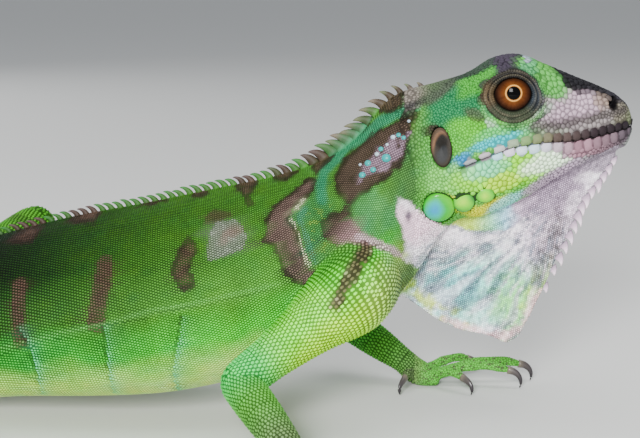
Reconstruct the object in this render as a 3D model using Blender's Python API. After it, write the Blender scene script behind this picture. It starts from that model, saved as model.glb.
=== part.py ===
"""A green iguana, Iguana iguana, half grown, crouched on four feet with its head raised.

Lengths are in millimetres here and turned to metres where a mesh is made.
X points to the snout, Y to the animal's left, Z up. The floor is Z = 0.
The last step, place_on_origin, moves the whole animal so that the origin lies under the
middle of its box.
"""

import math

import bmesh
import bpy
import numpy as np
from mathutils import Matrix, Vector

# ---------------------------------------------------------------- driving sizes, mm
MM = 0.001
GAP = 0.3                 # between neighbouring pieces
TAIL_LENGTH = 545.0
TAIL_STATIONS = 24
TAIL_SWING = -16.0        # degrees: the tail first swings a little to the right,
TAIL_CURL = 182.0         # then curls round to the left by this much
CREST_ON_TAIL = 0.36      # share of the tail that carries modelled spines
CREST_PITCH = 2.4         # from one spine to the next on the trunk
CREST_PITCH_ON_NECK = 2.8
CREST_PITCH_ON_TAIL = 6.8
CREST_WIDTH = 2.2         # length of a spine's base
FLOOR_FLAT = 0.35         # how much of the soles and tail is pressed flat

EYE_PLACE = (37.6, 9.4, 88.2)
EYE_RADIUS = 6.1
LID_OPENING = (4.4, 4.1)    # half width and half height between the lids
EAR_PLACE = (19.8, 15.6, 74.6)
EAR_HALF_WIDTH, EAR_HALF_HEIGHT = 2.6, 5.0
SHIELD_PLACE = (19.4, 13.4, 59.2)
SHIELD_RADIUS = 4.2
MOUTH_CORNER = (24.6, 69.8)
PLATE_SIDES = 12          # corners of the ear drums' and shields' outline

DEWLAP_EDGE_HALF = 0.75   # half of the dewlap's thickness at its edge
DEWLAP_ROOT_HALF = 3.6    # and where it leaves the throat
CLAW_LENGTH = 7.0
CLAW_RADIUS = 1.15
CLAW_RINGS = 5
CLAW_TIP_HEIGHT = 0.2     # claw tips just clear the floor, which the palms rest on
FLOOR_HALF = 1000.0       # half side of the block that stands for the floor, and its depth
FLOOR_DEPTH = 60.0

# Where the body is parted: x of the section's middle, then shares of the tail's length.
NECK_START, TRUNK_START, TRUNK_MIDDLE, TRUNK_END = 9.5, -2.0, -62.0, -126.0
TAIL_CUTS = (0.13, 0.30, 0.48, 0.66, 0.82)
BODY_SIDES = 20           # corners of a trunk section
HEAD_SIDES = 20
TAIL_SIDES = 10

# ---------------------------------------------------------------- the body's stations
# From snout to vent: x, z and pitch of the section's middle, half width, height above
# and below the middle, and how square the section is above and below (2 is an ellipse).
STATIONS = (
    # x, z, pitch, half width, up, down, square above, square below
    (69.0, 79.4, 0, 1.6, 2.0, 2.2, 2.0, 2.0),       # snout tip
    (68.2, 79.4, 0, 4.0, 4.6, 4.9, 2.2, 2.2),
    (66.0, 79.6, 1, 6.2, 7.0, 6.6, 2.4, 2.2),
    (61.5, 79.8, 2, 8.3, 9.4, 8.8, 2.6, 2.2),       # nostrils
    (54.6, 79.6, 2, 10.6, 12.4, 12.2, 2.6, 2.1),    # loreal region
    (47.2, 79.2, 3, 13.0, 16.0, 15.8, 2.8, 2.1),
    (41.0, 78.6, 4, 14.6, 19.1, 18.8, 3.0, 2.2),    # eyes
    (35.0, 77.2, 5, 15.6, 19.7, 20.0, 2.8, 2.3),
    (28.6, 75.0, 6, 16.6, 18.2, 20.2, 2.1, 2.5),    # temples and jowls
    (21.8, 72.0, 10, 16.8, 18.8, 18.0, 1.8, 2.4),   # ears
    (14.5, 66.8, 19, 16.2, 21.4, 18.2, 1.6, 1.9),   # neck
    (6.5, 59.0, 26, 17.4, 19.3, 20.4, 1.6, 1.8),
    (-4.5, 49.0, 20, 21.0, 21.8, 23.4, 1.6, 2.0),   # shoulders
    (-17.5, 42.0, 14, 25.0, 24.3, 24.8, 1.6, 2.1),
    (-35.0, 36.6, 11, 27.6, 25.8, 25.4, 1.7, 2.2),
    (-55.0, 32.4, 9, 28.6, 25.7, 25.6, 1.7, 2.3),   # mid trunk
    (-75.0, 29.0, 8, 27.6, 25.2, 23.6, 1.7, 2.3),
    (-95.0, 26.4, 6, 24.6, 22.8, 21.6, 1.8, 2.3),
    (-112.0, 23.4, 6, 20.6, 20.4, 20.6, 1.9, 2.2),  # hips
    (-126.0, 19.2, 8, 16.0, 17.8, 17.6, 2.0, 2.1),
    (-139.0, 15.2, 6, 12.6, 15.6, 15.2, 2.0, 2.1),  # vent
)
TAIL_ROOT = 21            # index of the first tail station


def tail_half_height(share):
    """Half height of the tail at this share of its length."""
    return 14.6 * (1 - share) ** 1.15 + 0.9


def tail_rows():
    """Stations of the tail on the floor, with its heading, after those of the trunk."""
    rows = []
    x, y = STATIONS[-1][0], 0.0
    step = TAIL_LENGTH / TAIL_STATIONS
    for i in range(1, TAIL_STATIONS + 1):
        share = i / TAIL_STATIONS
        swing = TAIL_SWING * math.sin(math.pi * min(share / 0.42, 1.0))
        curl = TAIL_CURL * max(0.0, share - 0.16) ** 1.25 / 0.84**1.25
        heading = math.radians(-swing - curl)
        x -= step * math.cos(heading)
        y -= step * math.sin(heading)
        high = tail_half_height(share)
        rows.append((x, y, high - FLOOR_FLAT, 0, heading, high * 0.88, high, high, 2.0, 2.0))
    return rows


def body_rows():
    """Every station: x, y, z, pitch, heading, half width, up, down, square above, below."""
    trunk = [(x, 0.0, z, math.radians(p), 0.0, w, u, d, a, b) for x, z, p, w, u, d, a, b in STATIONS]
    return np.array(trunk + tail_rows())


ROWS = body_rows()
ALONG = np.concatenate([[0.0], np.cumsum(np.linalg.norm(np.diff(ROWS[:, :3], axis=0), axis=1))])


def smooth_rows(keys, rows, at):
    """Rows read at other places from a smooth curve through those given."""
    keys = np.asarray(keys, float)
    rows = np.asarray(rows, float)
    at = np.clip(np.atleast_1d(np.asarray(at, float)), keys[0], keys[-1])
    slopes = np.gradient(rows, keys, axis=0)
    i = np.clip(np.searchsorted(keys, at, side="right") - 1, 0, len(keys) - 2)
    span = keys[i + 1] - keys[i]
    t = ((at - keys[i]) / span)[:, None]
    span = span[:, None]
    start = rows[i] * (2 * t**3 - 3 * t**2 + 1) + rows[i + 1] * (3 * t**2 - 2 * t**3)
    return start + span * (slopes[i] * (t**3 - 2 * t**2 + t) + slopes[i + 1] * (t**3 - t**2))


def superellipse(angle, above, below):
    """Cosine and sine of an angle, squared off by the powers above and below the middle."""
    cos, sin = np.cos(angle), np.sin(angle)
    power = 2 / np.where(sin > 0, above, below)
    return np.sign(cos) * np.abs(cos) ** power, np.sign(sin) * np.abs(sin) ** power


def body_points(along, angle, grow=0.0):
    """Points on the body at distances from the snout and angles round it: 0 is left, 90 is up."""
    row = smooth_rows(ALONG, ROWS, along).T
    pitch, heading = row[3], row[4]
    forward = np.array([np.cos(heading) * np.cos(pitch), np.sin(heading) * np.cos(pitch), np.sin(pitch)])
    left = np.array([-np.sin(heading), np.cos(heading), 0 * heading])
    up = np.cross(forward.T, left.T).T
    cos, sin = superellipse(angle, row[8], row[9])
    high = np.where(sin > 0, row[6], row[7]) + grow
    ray = left * cos * (row[5] + grow) + up * sin * high
    return (row[:3] + ray).T + relief((row[:3] + ray).T, ray.T)


def bump(points, centre, radius, height):
    """A round swelling of this height about a centre."""
    gone = np.linalg.norm(points - np.asarray(centre), axis=1) / radius
    return height * np.exp(-(gone**2) * 2.0)


def relief(points, rays):
    """The head's swellings and hollows, the same on both sides, as moves along the rays."""
    folded = points * np.array([1.0, 0.0, 1.0]) + np.abs(points) * np.array([0.0, 1.0, 0.0])
    out = bump(folded, (EYE_PLACE[0], 14.0, EYE_PLACE[2]), 9.0, 1.5)      # lids and brow
    out += bump(folded, (22.0, 15.5, 64.0), 10.0, 1.2)                    # jowl
    out += bump(folded, (29.0, 13.5, 90.0), 7.0, 0.6)                     # temple muscle
    out -= bump(folded, (52.0, 11.0, 84.5), 7.0, 0.9)                     # loreal hollow
    out += bump(folded, (63.6, 6.8, 85.6), 3.0, 0.9)                      # nostril
    out -= bump(folded, (10.0, 16.0, 70.0), 8.0, 1.2)                     # hollow of the neck
    unit = rays / np.maximum(np.linalg.norm(rays, axis=1), 1e-6)[:, None]
    return unit * out[:, None]


def along_at(x):
    """Distance from the snout of the trunk section whose middle is at this x."""
    return float(np.interp(-x, -ROWS[:TAIL_ROOT, 0], ALONG[:TAIL_ROOT]))


# ---------------------------------------------------------------- mesh tools
def material(name, colour, roughness=0.6, metallic=0.0):
    made = bpy.data.materials.get(name)
    if made is None:
        made = bpy.data.materials.new(name)
        made.use_nodes = True
        shader = made.node_tree.nodes["Principled BSDF"]
        shader.inputs["Base Color"].default_value = (*colour, 1.0)
        shader.inputs["Roughness"].default_value = roughness
        shader.inputs["Metallic"].default_value = metallic
    return made


def add_object(name, points, faces, finish=None):
    """A mesh object from points in millimetres. A helper has no finish and is left out."""
    mesh = bpy.data.meshes.new(name)
    mesh.from_pydata([tuple(float(v) * MM for v in p) for p in points], [], faces)
    fixed = bmesh.new()
    fixed.from_mesh(mesh)
    bmesh.ops.recalc_face_normals(fixed, faces=fixed.faces)
    fixed.to_mesh(mesh)
    fixed.free()
    obj = bpy.data.objects.new(name, mesh)
    bpy.context.scene.collection.objects.link(obj)
    if finish is None:
        obj.hide_render = True
        obj.display_type = "WIRE"
    else:
        mesh.materials.append(finish)
        mesh.shade_smooth()
        mesh.set_sharp_from_angle(angle=math.radians(50))
    return obj


def skinned(rings):
    """Points and faces of a closed tube over rings of equal count, with a point at each end."""
    count = len(rings[0])
    points = [p for ring in rings for p in ring]
    faces = []
    for i in range(len(rings) - 1):
        for j in range(count):
            k = (j + 1) % count
            low, high = i * count, (i + 1) * count
            faces.append((low + j, low + k, high + k, high + j))
    for ring, base, flip in ((rings[0], 0, True), (rings[-1], (len(rings) - 1) * count, False)):
        points.append(np.mean(ring, axis=0))
        for j in range(count):
            k = (j + 1) % count
            pair = (base + k, base + j) if flip else (base + j, base + k)
            faces.append((*pair, len(points) - 1))
    return points, faces


def joined(parts):
    """Several point and face lists as one."""
    points, faces = [], []
    for some_points, some_faces in parts:
        base = len(points)
        points.extend(some_points)
        faces.extend(tuple(i + base for i in face) for face in some_faces)
    return points, faces


def boolean(obj, other, operation, crossing=False):
    """Adds a Boolean. Crossing says that the other object's own bodies overlap each other."""
    step = obj.modifiers.new(operation.title(), "BOOLEAN")
    step.operation = operation
    step.solver = "EXACT"
    step.use_self = crossing
    step.object = other


def body_mesh(start, end, rings, count, grow=0.0):
    """Points and faces of a length of the body, from start to end along it."""
    angles = np.linspace(0, 2 * math.pi, count, endpoint=False) + math.pi / 2
    made = []
    for along in np.linspace(start, end, rings):
        made.append(list(body_points(np.full(count, along), angles, grow)))
    return skinned(made)


def tube(path, sizes, count, powers=2.0, grow=0.0):
    """Rings round a path. Each size is a pair, half width and half height of the section."""
    path = np.asarray(path, float)
    heading = np.gradient(path, axis=0)
    heading /= np.linalg.norm(heading, axis=1)[:, None]
    angles = np.linspace(0, 2 * math.pi, count, endpoint=False)
    cos, sin = superellipse(angles, powers, powers)
    rings = []
    for centre, ahead, (wide, high) in zip(path, heading, sizes):
        side = np.cross((0.0, 0.0, 1.0), ahead)
        if np.linalg.norm(side) < 0.3:
            side = np.cross((1.0, 0.0, 0.0), ahead)
        side /= np.linalg.norm(side)
        top = np.cross(ahead, side)
        ring = centre + np.outer(cos * (wide + grow), side) + np.outer(sin * (high + grow), top)
        rings.append(list(ring))
    return rings


def smooth_tube(path, sizes, count, rings, grow=0.0):
    """A closed tube through a few places, smoothed."""
    keys = np.concatenate([[0.0], np.cumsum(np.linalg.norm(np.diff(path, axis=0), axis=1))])
    at = np.linspace(0, keys[-1], rings)
    table = smooth_rows(keys, np.hstack([path, sizes]), at)
    return skinned(tube(table[:, :3], table[:, 3:], count, grow=grow))


# ---------------------------------------------------------------- legs
def mirrored(place, side):
    return (place[0], place[1] * side, place[2])


# Middle lines of the limbs: the left foreleg stands further forward than the right. "turn"
# is the angle of the foot outward, in degrees. Each digit, the thumb or first toe first, has
# its angle from the foot's axis (plus is outward), its length, and the height of its tip.
FORELEGS = {
    "right": {
        "side": -1, "elbow": (-29.5, 36.0, 18.2), "wrist": (-14.5, 57.0, 6.4), "turn": 22.0,
        "digits": ((-60, 11.0, 3.6), (-22, 18.0, 4.4), (0, 23.5, 4.8), (14, 25.5, 4.8), (44, 18.0, 4.2)),
    },
    "left": {
        "side": 1, "elbow": (-12.0, 41.0, 20.5), "wrist": (9.5, 34.5, 7.2), "turn": -4.0,
        "digits": ((-112, 8.0, 4.4), (-36, 12.5, 4.6), (-2, 23.0, 5.2), (12, 26.5, 5.2), (40, 18.0, 4.2)),
    },
}
HINDLEGS = {
    "right": {
        "side": -1, "knee": (-103.0, 46.5, 42.0), "ankle": (-132.0, 58.0, 7.5), "turn": 24.0,
        "digits": ((-30, 13.0, 2.5), (-13, 21.0, 2.8), (2, 30.0, 3.0), (14, 39.0, 3.0), (42, 25.0, 2.7)),
    },
    "left": {
        "side": 1, "knee": (-100.5, 46.5, 43.0), "ankle": (-131.0, 58.0, 7.5), "turn": 27.0,
        "digits": ((-30, 13.0, 2.5), (-13, 21.0, 2.8), (2, 30.0, 3.0), (14, 39.0, 3.0), (42, 25.0, 2.7)),
    },
}
SHOULDER = (0.5, 13.0, 40.5)
HIP = (-117.0, 8.0, 25.0)


def between(a, b, share):
    return tuple(p + (q - p) * share for p, q in zip(a, b))


def upper_arm(leg):
    """Places and sizes down the upper arm, thick at the shoulder, thin above the elbow."""
    elbow = leg["elbow"]
    outer = (-2.0, 22.0, 38.5) if leg["side"] < 0 else (-1.0, 22.5, 38.0)
    places = [SHOULDER, outer, between(outer, elbow, 0.42), between(outer, elbow, 0.78), elbow]
    sizes = [(10.5, 11.0), (10.2, 11.2), (7.2, 7.6), (5.6, 5.8), (5.3, 5.6)]
    return places, sizes


def forearm(leg):
    elbow, wrist = leg["elbow"], leg["wrist"]
    places = [elbow, between(elbow, wrist, 0.3), between(elbow, wrist, 0.68), wrist]
    return places, [(5.3, 5.6), (5.3, 5.4), (4.8, 4.9), (4.2, 3.8)]


def thigh(leg):
    knee = leg["knee"]
    places = [HIP, between(HIP, knee, 0.32), between(HIP, knee, 0.7), knee]
    return places, [(11.5, 11.0), (10.4, 10.6), (8.6, 9.0), (6.6, 7.2)]


def shank(leg):
    knee, ankle = leg["knee"], leg["ankle"]
    places = [knee, between(knee, ankle, 0.3), between(knee, ankle, 0.7), ankle]
    return places, [(6.6, 7.2), (6.9, 6.9), (5.2, 5.2), (4.2, 4.0)]


PALM_LENGTH = {"hand": 9.5, "foot": 17.0}
DIGIT_RADIUS = {"hand": (1.9, 1.75, 1.6, 1.5, 1.3), "foot": (2.1, 1.95, 1.75, 1.6, 1.35)}
PALM_SIZES = {
    "hand": [(4.2, 3.8), (5.2, 3.9), (4.6, 2.6)],
    "foot": [(4.2, 4.0), (4.8, 3.9), (5.0, 2.6)],
}


def foot_plan(kind, root, side, turn, digits):
    """The palm's middle line, pressed on the floor, and each digit's middle line with its heading."""
    ahead = math.radians(turn) * side
    forward = Vector((math.cos(ahead), math.sin(ahead), 0))
    across = Vector((-math.sin(ahead), math.cos(ahead), 0)) * side
    start = Vector(mirrored(root, side))
    knuckle = start + forward * PALM_LENGTH[kind]
    knuckle.z = PALM_SIZES[kind][2][1] - FLOOR_FLAT
    middle = start.lerp(knuckle, 0.5)
    middle.z = PALM_SIZES[kind][1][1] - FLOOR_FLAT
    palm = [start, middle, knuckle + forward * 1.5]
    lines = []
    for i, (spread, length, tip_height) in enumerate(digits):
        lean = math.radians(spread)
        way = forward * math.cos(lean) + across * math.sin(lean)
        base = start.lerp(knuckle, 0.5 if i in (0, 4) else 0.85) + across * (i - 2) * 1.7
        base.z = 2.8
        tip = base + way * length
        tip.z = tip_height
        bend = base.lerp(tip, 0.5)
        bend.z = tip_height + 0.7
        last = base.lerp(tip, 0.84)
        last.z = tip_height + 0.9
        lines.append(([base - way * 3.0, base, bend, last, tip], way))
    return palm, lines


def foot_mesh(kind, root, side, turn, digits):
    """Palm and digits as overlapping closed bodies, and the place and way of each claw."""
    palm, lines = foot_plan(kind, root, side, turn, digits)
    parts = [smooth_tube([tuple(p) for p in palm], PALM_SIZES[kind], 10, 5)]
    claws = []
    for line, way in lines:
        radii = DIGIT_RADIUS[kind]
        sizes = [(r, r) for r in radii]
        parts.append(smooth_tube([tuple(p) for p in line], sizes, 6, 5))
        claws.append((line[-1], way, (line[-1] - line[-2]).normalized()))
    return parts, claws


def claw_mesh(tip, way, last, radius=CLAW_RADIUS):
    """A claw that leaves the digit's end, curves over and comes down to a point at the floor."""
    base = Vector(tip) + last * GAP * 1.2
    spots, sizes = [], []
    for i in range(CLAW_RINGS):
        share = i / (CLAW_RINGS - 1)
        turn = math.radians(5 + 115 * share)
        spots.append(base.copy())
        high = radius * (1 - share) ** 0.75
        sizes.append((high * 0.85 + 0.12, high + 0.12))
        ahead = last if i == 0 else way * math.cos(turn) - Vector((0, 0, 1)) * math.sin(turn)
        base += ahead * CLAW_LENGTH / (CLAW_RINGS - 1)
    drop = spots[1].z - spots[-1].z
    fit = (spots[1].z - CLAW_TIP_HEIGHT) / drop
    top = spots[1].z
    spots = [(s.x, s.y, s.z if i < 2 else top + (s.z - top) * fit) for i, s in enumerate(spots)]
    return skinned(tube(spots, sizes, 5))


# ---------------------------------------------------------------- dewlap
# Its outline seen from the side: where it leaves the throat, and its free edge.
DEWLAP_TOP = (
    (10.5, 50.0), (17.0, 57.0), (26.0, 62.0), (36.0, 64.0), (46.0, 67.5), (56.0, 72.0), (64.5, 75.0),
)
DEWLAP_EDGE = (
    (9.4, 33.0), (14.0, 30.4), (18.3, 27.2), (22.5, 25.0), (28.0, 23.4), (34.0, 22.3),
    (38.0, 20.8), (40.4, 22.2), (43.2, 27.0), (46.2, 33.2), (50.2, 42.5), (54.0, 51.6),
    (57.2, 59.6), (61.2, 65.0), (65.4, 71.4),
)
DEWLAP_SPINES = 14


def arc_keys(line):
    steps = np.linalg.norm(np.diff(np.asarray(line), axis=0), axis=1)
    keys = np.concatenate([[0.0], np.cumsum(steps)])
    return keys / keys[-1]


def dewlap_edge(share):
    """A place on the free edge, from the chest, 0, to the chin, 1."""
    return smooth_rows(arc_keys(DEWLAP_EDGE), np.array(DEWLAP_EDGE), share)[0]


def dewlap_points(u, v, side):
    """A place on one face of the dewlap: u from chest to chin, v from the throat to the edge."""
    top = smooth_rows(arc_keys(DEWLAP_TOP), np.array(DEWLAP_TOP), u)[0]
    x, z = top + (dewlap_edge(u) - top) * v
    thick = DEWLAP_EDGE_HALF + (DEWLAP_ROOT_HALF - DEWLAP_EDGE_HALF) * (1 - v) ** 1.6
    sway = 0.9 * math.sin(u * 9.0 + 0.6) * v * (1 - u)
    return (x, sway + side * thick, z)


def dewlap_mesh(rows=5):
    rings = []
    for u in arc_keys(DEWLAP_EDGE):
        near = [dewlap_points(u, j / (rows - 1), -1) for j in range(rows)]
        far = [dewlap_points(u, j / (rows - 1), 1) for j in range(rows)]
        rings.append([np.array(p) for p in near + far[::-1]])
    return skinned(rings)


def spike(root, out, along, length, width, thick, lean):
    """One flat spine leaning back by so many degrees: a point whose base is sunk into its carrier."""
    root, out, along = Vector(root), Vector(out).normalized(), Vector(along).normalized()
    side = out.cross(along).normalized()
    sunk = root - out * min(1.0, 0.5 * length)
    corners = [
        sunk + along * width / 2, sunk + side * thick / 2,
        sunk - along * width / 2, sunk - side * thick / 2,
    ]
    tilt = math.radians(lean)
    tip = root + out * length * math.cos(tilt) - along * length * math.sin(tilt)
    points = [tuple(p) for p in corners] + [tuple(tip)]
    return points, [(0, 1, 4), (1, 2, 4), (2, 3, 4), (3, 0, 4), (3, 2, 1, 0)]


def dewlap_spines():
    """The row of spines down the front edge, largest in the middle."""
    made = []
    for i in range(DEWLAP_SPINES):
        share = 0.56 + 0.425 * (i / (DEWLAP_SPINES - 1)) ** 0.78
        here, on = dewlap_edge(share), dewlap_edge(share + 0.01)
        run = Vector((on[0] - here[0], 0, on[1] - here[1])).normalized()
        out = Vector((run.z, 0, -run.x))
        size = 0.8 + 2.1 * math.sin(math.pi * (i + 1.5) / (DEWLAP_SPINES + 2)) ** 0.8
        made.append(spike((here[0], 0, here[1]), out, run, size, 2.8, 1.2, 36))
    return made


# ---------------------------------------------------------------- crest
# Where a crest spine stands, its length, and how far it leans back in degrees.
CREST_SIZES = (
    (19.0, 1.2, 28), (13.0, 3.6, 28), (5.0, 5.4, 28), (-5.0, 5.0, 34),
    (-13.0, 3.4, 41), (-25.0, 3.0, 46),
)


NECK_CREST_END = -8.0


def crest_row(column, at_vent, at_end):
    places = [along_at(row[0]) for row in CREST_SIZES] + [ALONG[TAIL_ROOT - 1], crest_end()]
    return places, [row[column] for row in CREST_SIZES] + [at_vent, at_end]


def crest_length(along):
    """Length of a crest spine at this distance from the snout."""
    return float(np.interp(along, *crest_row(1, 2.4, 1.4)))


def crest_lean(along):
    return float(np.interp(along, *crest_row(2, 46, 46)))


def crest_end():
    """Distance from the snout where the spines on the tail become too small to model."""
    return ALONG[TAIL_ROOT - 1] + TAIL_LENGTH * CREST_ON_TAIL


def crest_spines(start, end):
    """Spines on the back between two distances from the snout, further apart on the tail."""
    made = []
    at = along_at(19.0)
    while at < crest_end():
        high, lean = crest_length(at), crest_lean(at)
        pitch = CREST_PITCH_ON_TAIL if at > ALONG[TAIL_ROOT - 1] else CREST_PITCH
        pitch = CREST_PITCH_ON_NECK if at < along_at(NECK_CREST_END) else pitch
        top = body_points([at], np.array([math.pi / 2]))[0]
        ahead = body_points([at - 1.0], np.array([math.pi / 2]))[0]
        if start + 0.5 * CREST_WIDTH + GAP < at < end - 0.5 * CREST_WIDTH - GAP:
            reach = high * math.sin(math.radians(lean))
            high *= min(1.0, max(0.4, (end - at - 0.6) / reach))
            run = Vector(ahead - top).normalized()
            left = run.cross(Vector((0, 0, 1))) * -1
            out = run.cross(left)
            made.append(spike(top, out, run, high, CREST_WIDTH, 0.9 + 0.06 * high, lean))
        at += pitch / float(np.linalg.norm(ahead - top))
    return made


# ---------------------------------------------------------------- the pieces
GREEN = (0.12, 0.42, 0.06)
SKIN = ("scaly skin, green", GREEN, 0.5)
PINK_SKIN = ("dewlap skin, pale pink", (0.62, 0.50, 0.55), 0.55)
CLAW = ("claw horn, grey", (0.13, 0.12, 0.13), 0.35)
EYE = ("eye, orange brown", (0.45, 0.16, 0.03), 0.08)
DRUM = ("ear drum, grey brown", (0.12, 0.11, 0.09), 0.4)
SHIELD = ("shield plate, turquoise", (0.10, 0.62, 0.45), 0.25)


def clear_scene():
    for obj in list(bpy.data.objects):
        bpy.data.objects.remove(obj, do_unlink=True)


def floor_cutter():
    """Everything under the floor, which presses the soles and the tail flat."""
    half = FLOOR_HALF
    corners = [(x, y, z) for z in (-FLOOR_DEPTH, 0.0) for y in (-half, half) for x in (-half, half)]
    faces = [(0, 1, 3, 2), (4, 6, 7, 5), (0, 4, 5, 1), (2, 3, 7, 6), (0, 2, 6, 4), (1, 5, 7, 3)]
    return add_object("cutter_floor", corners, faces)


def ball(place, radius, squash=(1.0, 1.0, 1.0), detail=2):
    made = bmesh.new()
    bmesh.ops.create_icosphere(made, subdivisions=detail, radius=radius)
    points = [tuple(c * s + p for c, s, p in zip(v.co, squash, place)) for v in made.verts]
    faces = [tuple(v.index for v in f.verts) for f in made.faces]
    made.free()
    return points, faces


def mouth_cutter(name, margin):
    """All below the mouth line and ahead of its corner, grown by a margin."""
    corner_x, corner_z = MOUTH_CORNER
    line = [
        (corner_x - margin, corner_z + margin), (30.0, 71.9 + margin), (38.0, 74.9 + margin),
        (46.0, 75.9 + margin), (53.0, 76.0 + margin), (60.0, 77.2 + margin), (66.0, 78.6 + margin),
        (80.0, 79.8 + margin), (80.0, 30.0), (31.0 - margin, 30.0), (30.0 - margin, 56.0),
    ]
    half = 30.0
    points = [(x, y, z) for y in (-half, half) for x, z in line]
    count = len(line)
    faces = [tuple(range(count)), tuple(range(2 * count - 1, count - 1, -1))]
    faces += [(i, (i + 1) % count, count + (i + 1) % count, count + i) for i in range(count)]
    return add_object(name, points, faces)


def plate(place, half_wide, half_high, thick, grow=0.0, lean=0.0):
    """A domed oval plate whose axis is Y, thick inwards from its place."""
    count, rings = PLATE_SIDES, []
    side = 1 if place[1] > 0 else -1
    for inward, size in ((thick + grow, 1.0), (0.25, 1.0), (-0.35, 0.6)):
        ring = []
        for i in range(count):
            turn = 2 * math.pi * i / count
            dx = (half_wide + grow) * size * math.cos(turn)
            dz = (half_high + grow) * size * math.sin(turn)
            ring.append(np.array((place[0] + dx - lean * dz, place[1] - side * inward, place[2] + dz)))
        rings.append(ring)
    return skinned(rings)


def spine_joined(name, start, end, rings, count, finish):
    """A length of the body with its crest spines joined to it."""
    obj = add_object(name, *body_mesh(start, end, rings, count), finish)
    spines = crest_spines(start, end)
    if spines:
        cutter = add_object("join_" + name, *joined(spines))
        boolean(obj, cutter, "UNION", crossing=True)
    return obj


def build_body():
    """Head, jaw, neck, trunk and tail, each a length of the one body."""
    skin = material(*SKIN)
    neck_start, trunk_start = along_at(NECK_START), along_at(TRUNK_START)
    trunk_middle, trunk_end = along_at(TRUNK_MIDDLE), along_at(TRUNK_END)
    head = spine_joined("head", 0.0, neck_start, 17, HEAD_SIDES, skin)
    jaw = add_object("lower_jaw", *body_mesh(0.0, neck_start, 17, HEAD_SIDES), skin)
    boolean(jaw, mouth_cutter("cutter_jaw", 0.0), "INTERSECT")
    boolean(head, mouth_cutter("cutter_mouth", GAP), "DIFFERENCE")
    for side, word in ((1, "left"), (-1, "right")):
        boolean(head, add_object("cutter_eye_" + word, *eye_hollow(side)), "DIFFERENCE")
        ear = plate(mirrored(EAR_PLACE, side), EAR_HALF_WIDTH, EAR_HALF_HEIGHT, 1.4, GAP, 0.12)
        boolean(head, add_object("cutter_ear_" + word, *deepened(ear, side)), "DIFFERENCE")
        shield = plate(mirrored(SHIELD_PLACE, side), SHIELD_RADIUS, SHIELD_RADIUS * 0.95, 1.4, GAP)
        boolean(head, add_object("cutter_shield_" + word, *deepened(shield, side)), "DIFFERENCE")
    spine_joined("neck", neck_start + GAP, trunk_start - GAP, 5, BODY_SIDES, skin)
    spine_joined("trunk_front", trunk_start, trunk_middle - GAP, 7, BODY_SIDES, skin)
    spine_joined("trunk_rear", trunk_middle, trunk_end - GAP, 7, BODY_SIDES, skin)
    cuts = [trunk_end] + [ALONG[-1] - TAIL_LENGTH * (1 - share) for share in TAIL_CUTS] + [ALONG[-1]]
    floor = bpy.data.objects["cutter_floor"]
    for i, (start, end) in enumerate(zip(cuts[:-1], cuts[1:])):
        gap = GAP if end < ALONG[-1] else 0.0
        piece = spine_joined(f"tail_{i + 1}", start, end - gap, 7, TAIL_SIDES, skin)
        boolean(piece, floor, "DIFFERENCE")


def eye_hollow(side):
    """The eyeball's seat, round at the back, and the oval hole between the lids outside it."""
    x, y, z = EYE_PLACE
    size = EYE_RADIUS + GAP
    rings = []
    for lean in (-72, -45, -18, 8, 34):
        out = size * math.sin(math.radians(lean))
        radius = size * math.cos(math.radians(lean))
        rings.append((out, radius, radius))
    rings.append((size * 0.95, *LID_OPENING))
    rings.append((size * 2.0, LID_OPENING[0] * 1.5, LID_OPENING[1] * 1.5))
    turns = np.linspace(0, 2 * math.pi, 14, endpoint=False)
    made = []
    for out, wide, high in rings:
        places = [(x + wide * math.cos(t), side * (y + out), z + high * math.sin(t)) for t in turns]
        made.append([np.array(p) for p in places])
    return skinned(made)


def deepened(shape, side):
    """A plate's outline carried outward, to cut its seat clear through the skin."""
    points, faces = shape
    rings = points[: 3 * PLATE_SIDES]
    outer = [p + np.array((0.0, side * 6.0, 0.0)) for p in rings[2 * PLATE_SIDES :]]
    inner = rings[: 2 * PLATE_SIDES]
    return inner + outer + [points[3 * PLATE_SIDES], np.mean(outer, axis=0)], faces


def build_head_pieces():
    eye, drum, shield = material(*EYE), material(*DRUM), material(*SHIELD)
    for side, word in ((1, "left"), (-1, "right")):
        add_object("eye_" + word, *ball(mirrored(EYE_PLACE, side), EYE_RADIUS), eye)
        ear = plate(mirrored(EAR_PLACE, side), EAR_HALF_WIDTH, EAR_HALF_HEIGHT, 1.4, 0.0, 0.12)
        add_object("eardrum_" + word, *ear, drum)
        disc = plate(mirrored(SHIELD_PLACE, side), SHIELD_RADIUS, SHIELD_RADIUS * 0.95, 1.4)
        add_object("shield_" + word, *disc, shield)


def build_dewlap():
    dewlap = add_object("dewlap", *dewlap_mesh(), material(*PINK_SKIN))
    boolean(dewlap, add_object("join_dewlap", *joined(dewlap_spines())), "UNION", crossing=True)
    throat = add_object("cutter_throat", *body_mesh(0.0, along_at(-30.0), 30, 26, GAP * 1.2))
    boolean(dewlap, throat, "DIFFERENCE")


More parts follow.
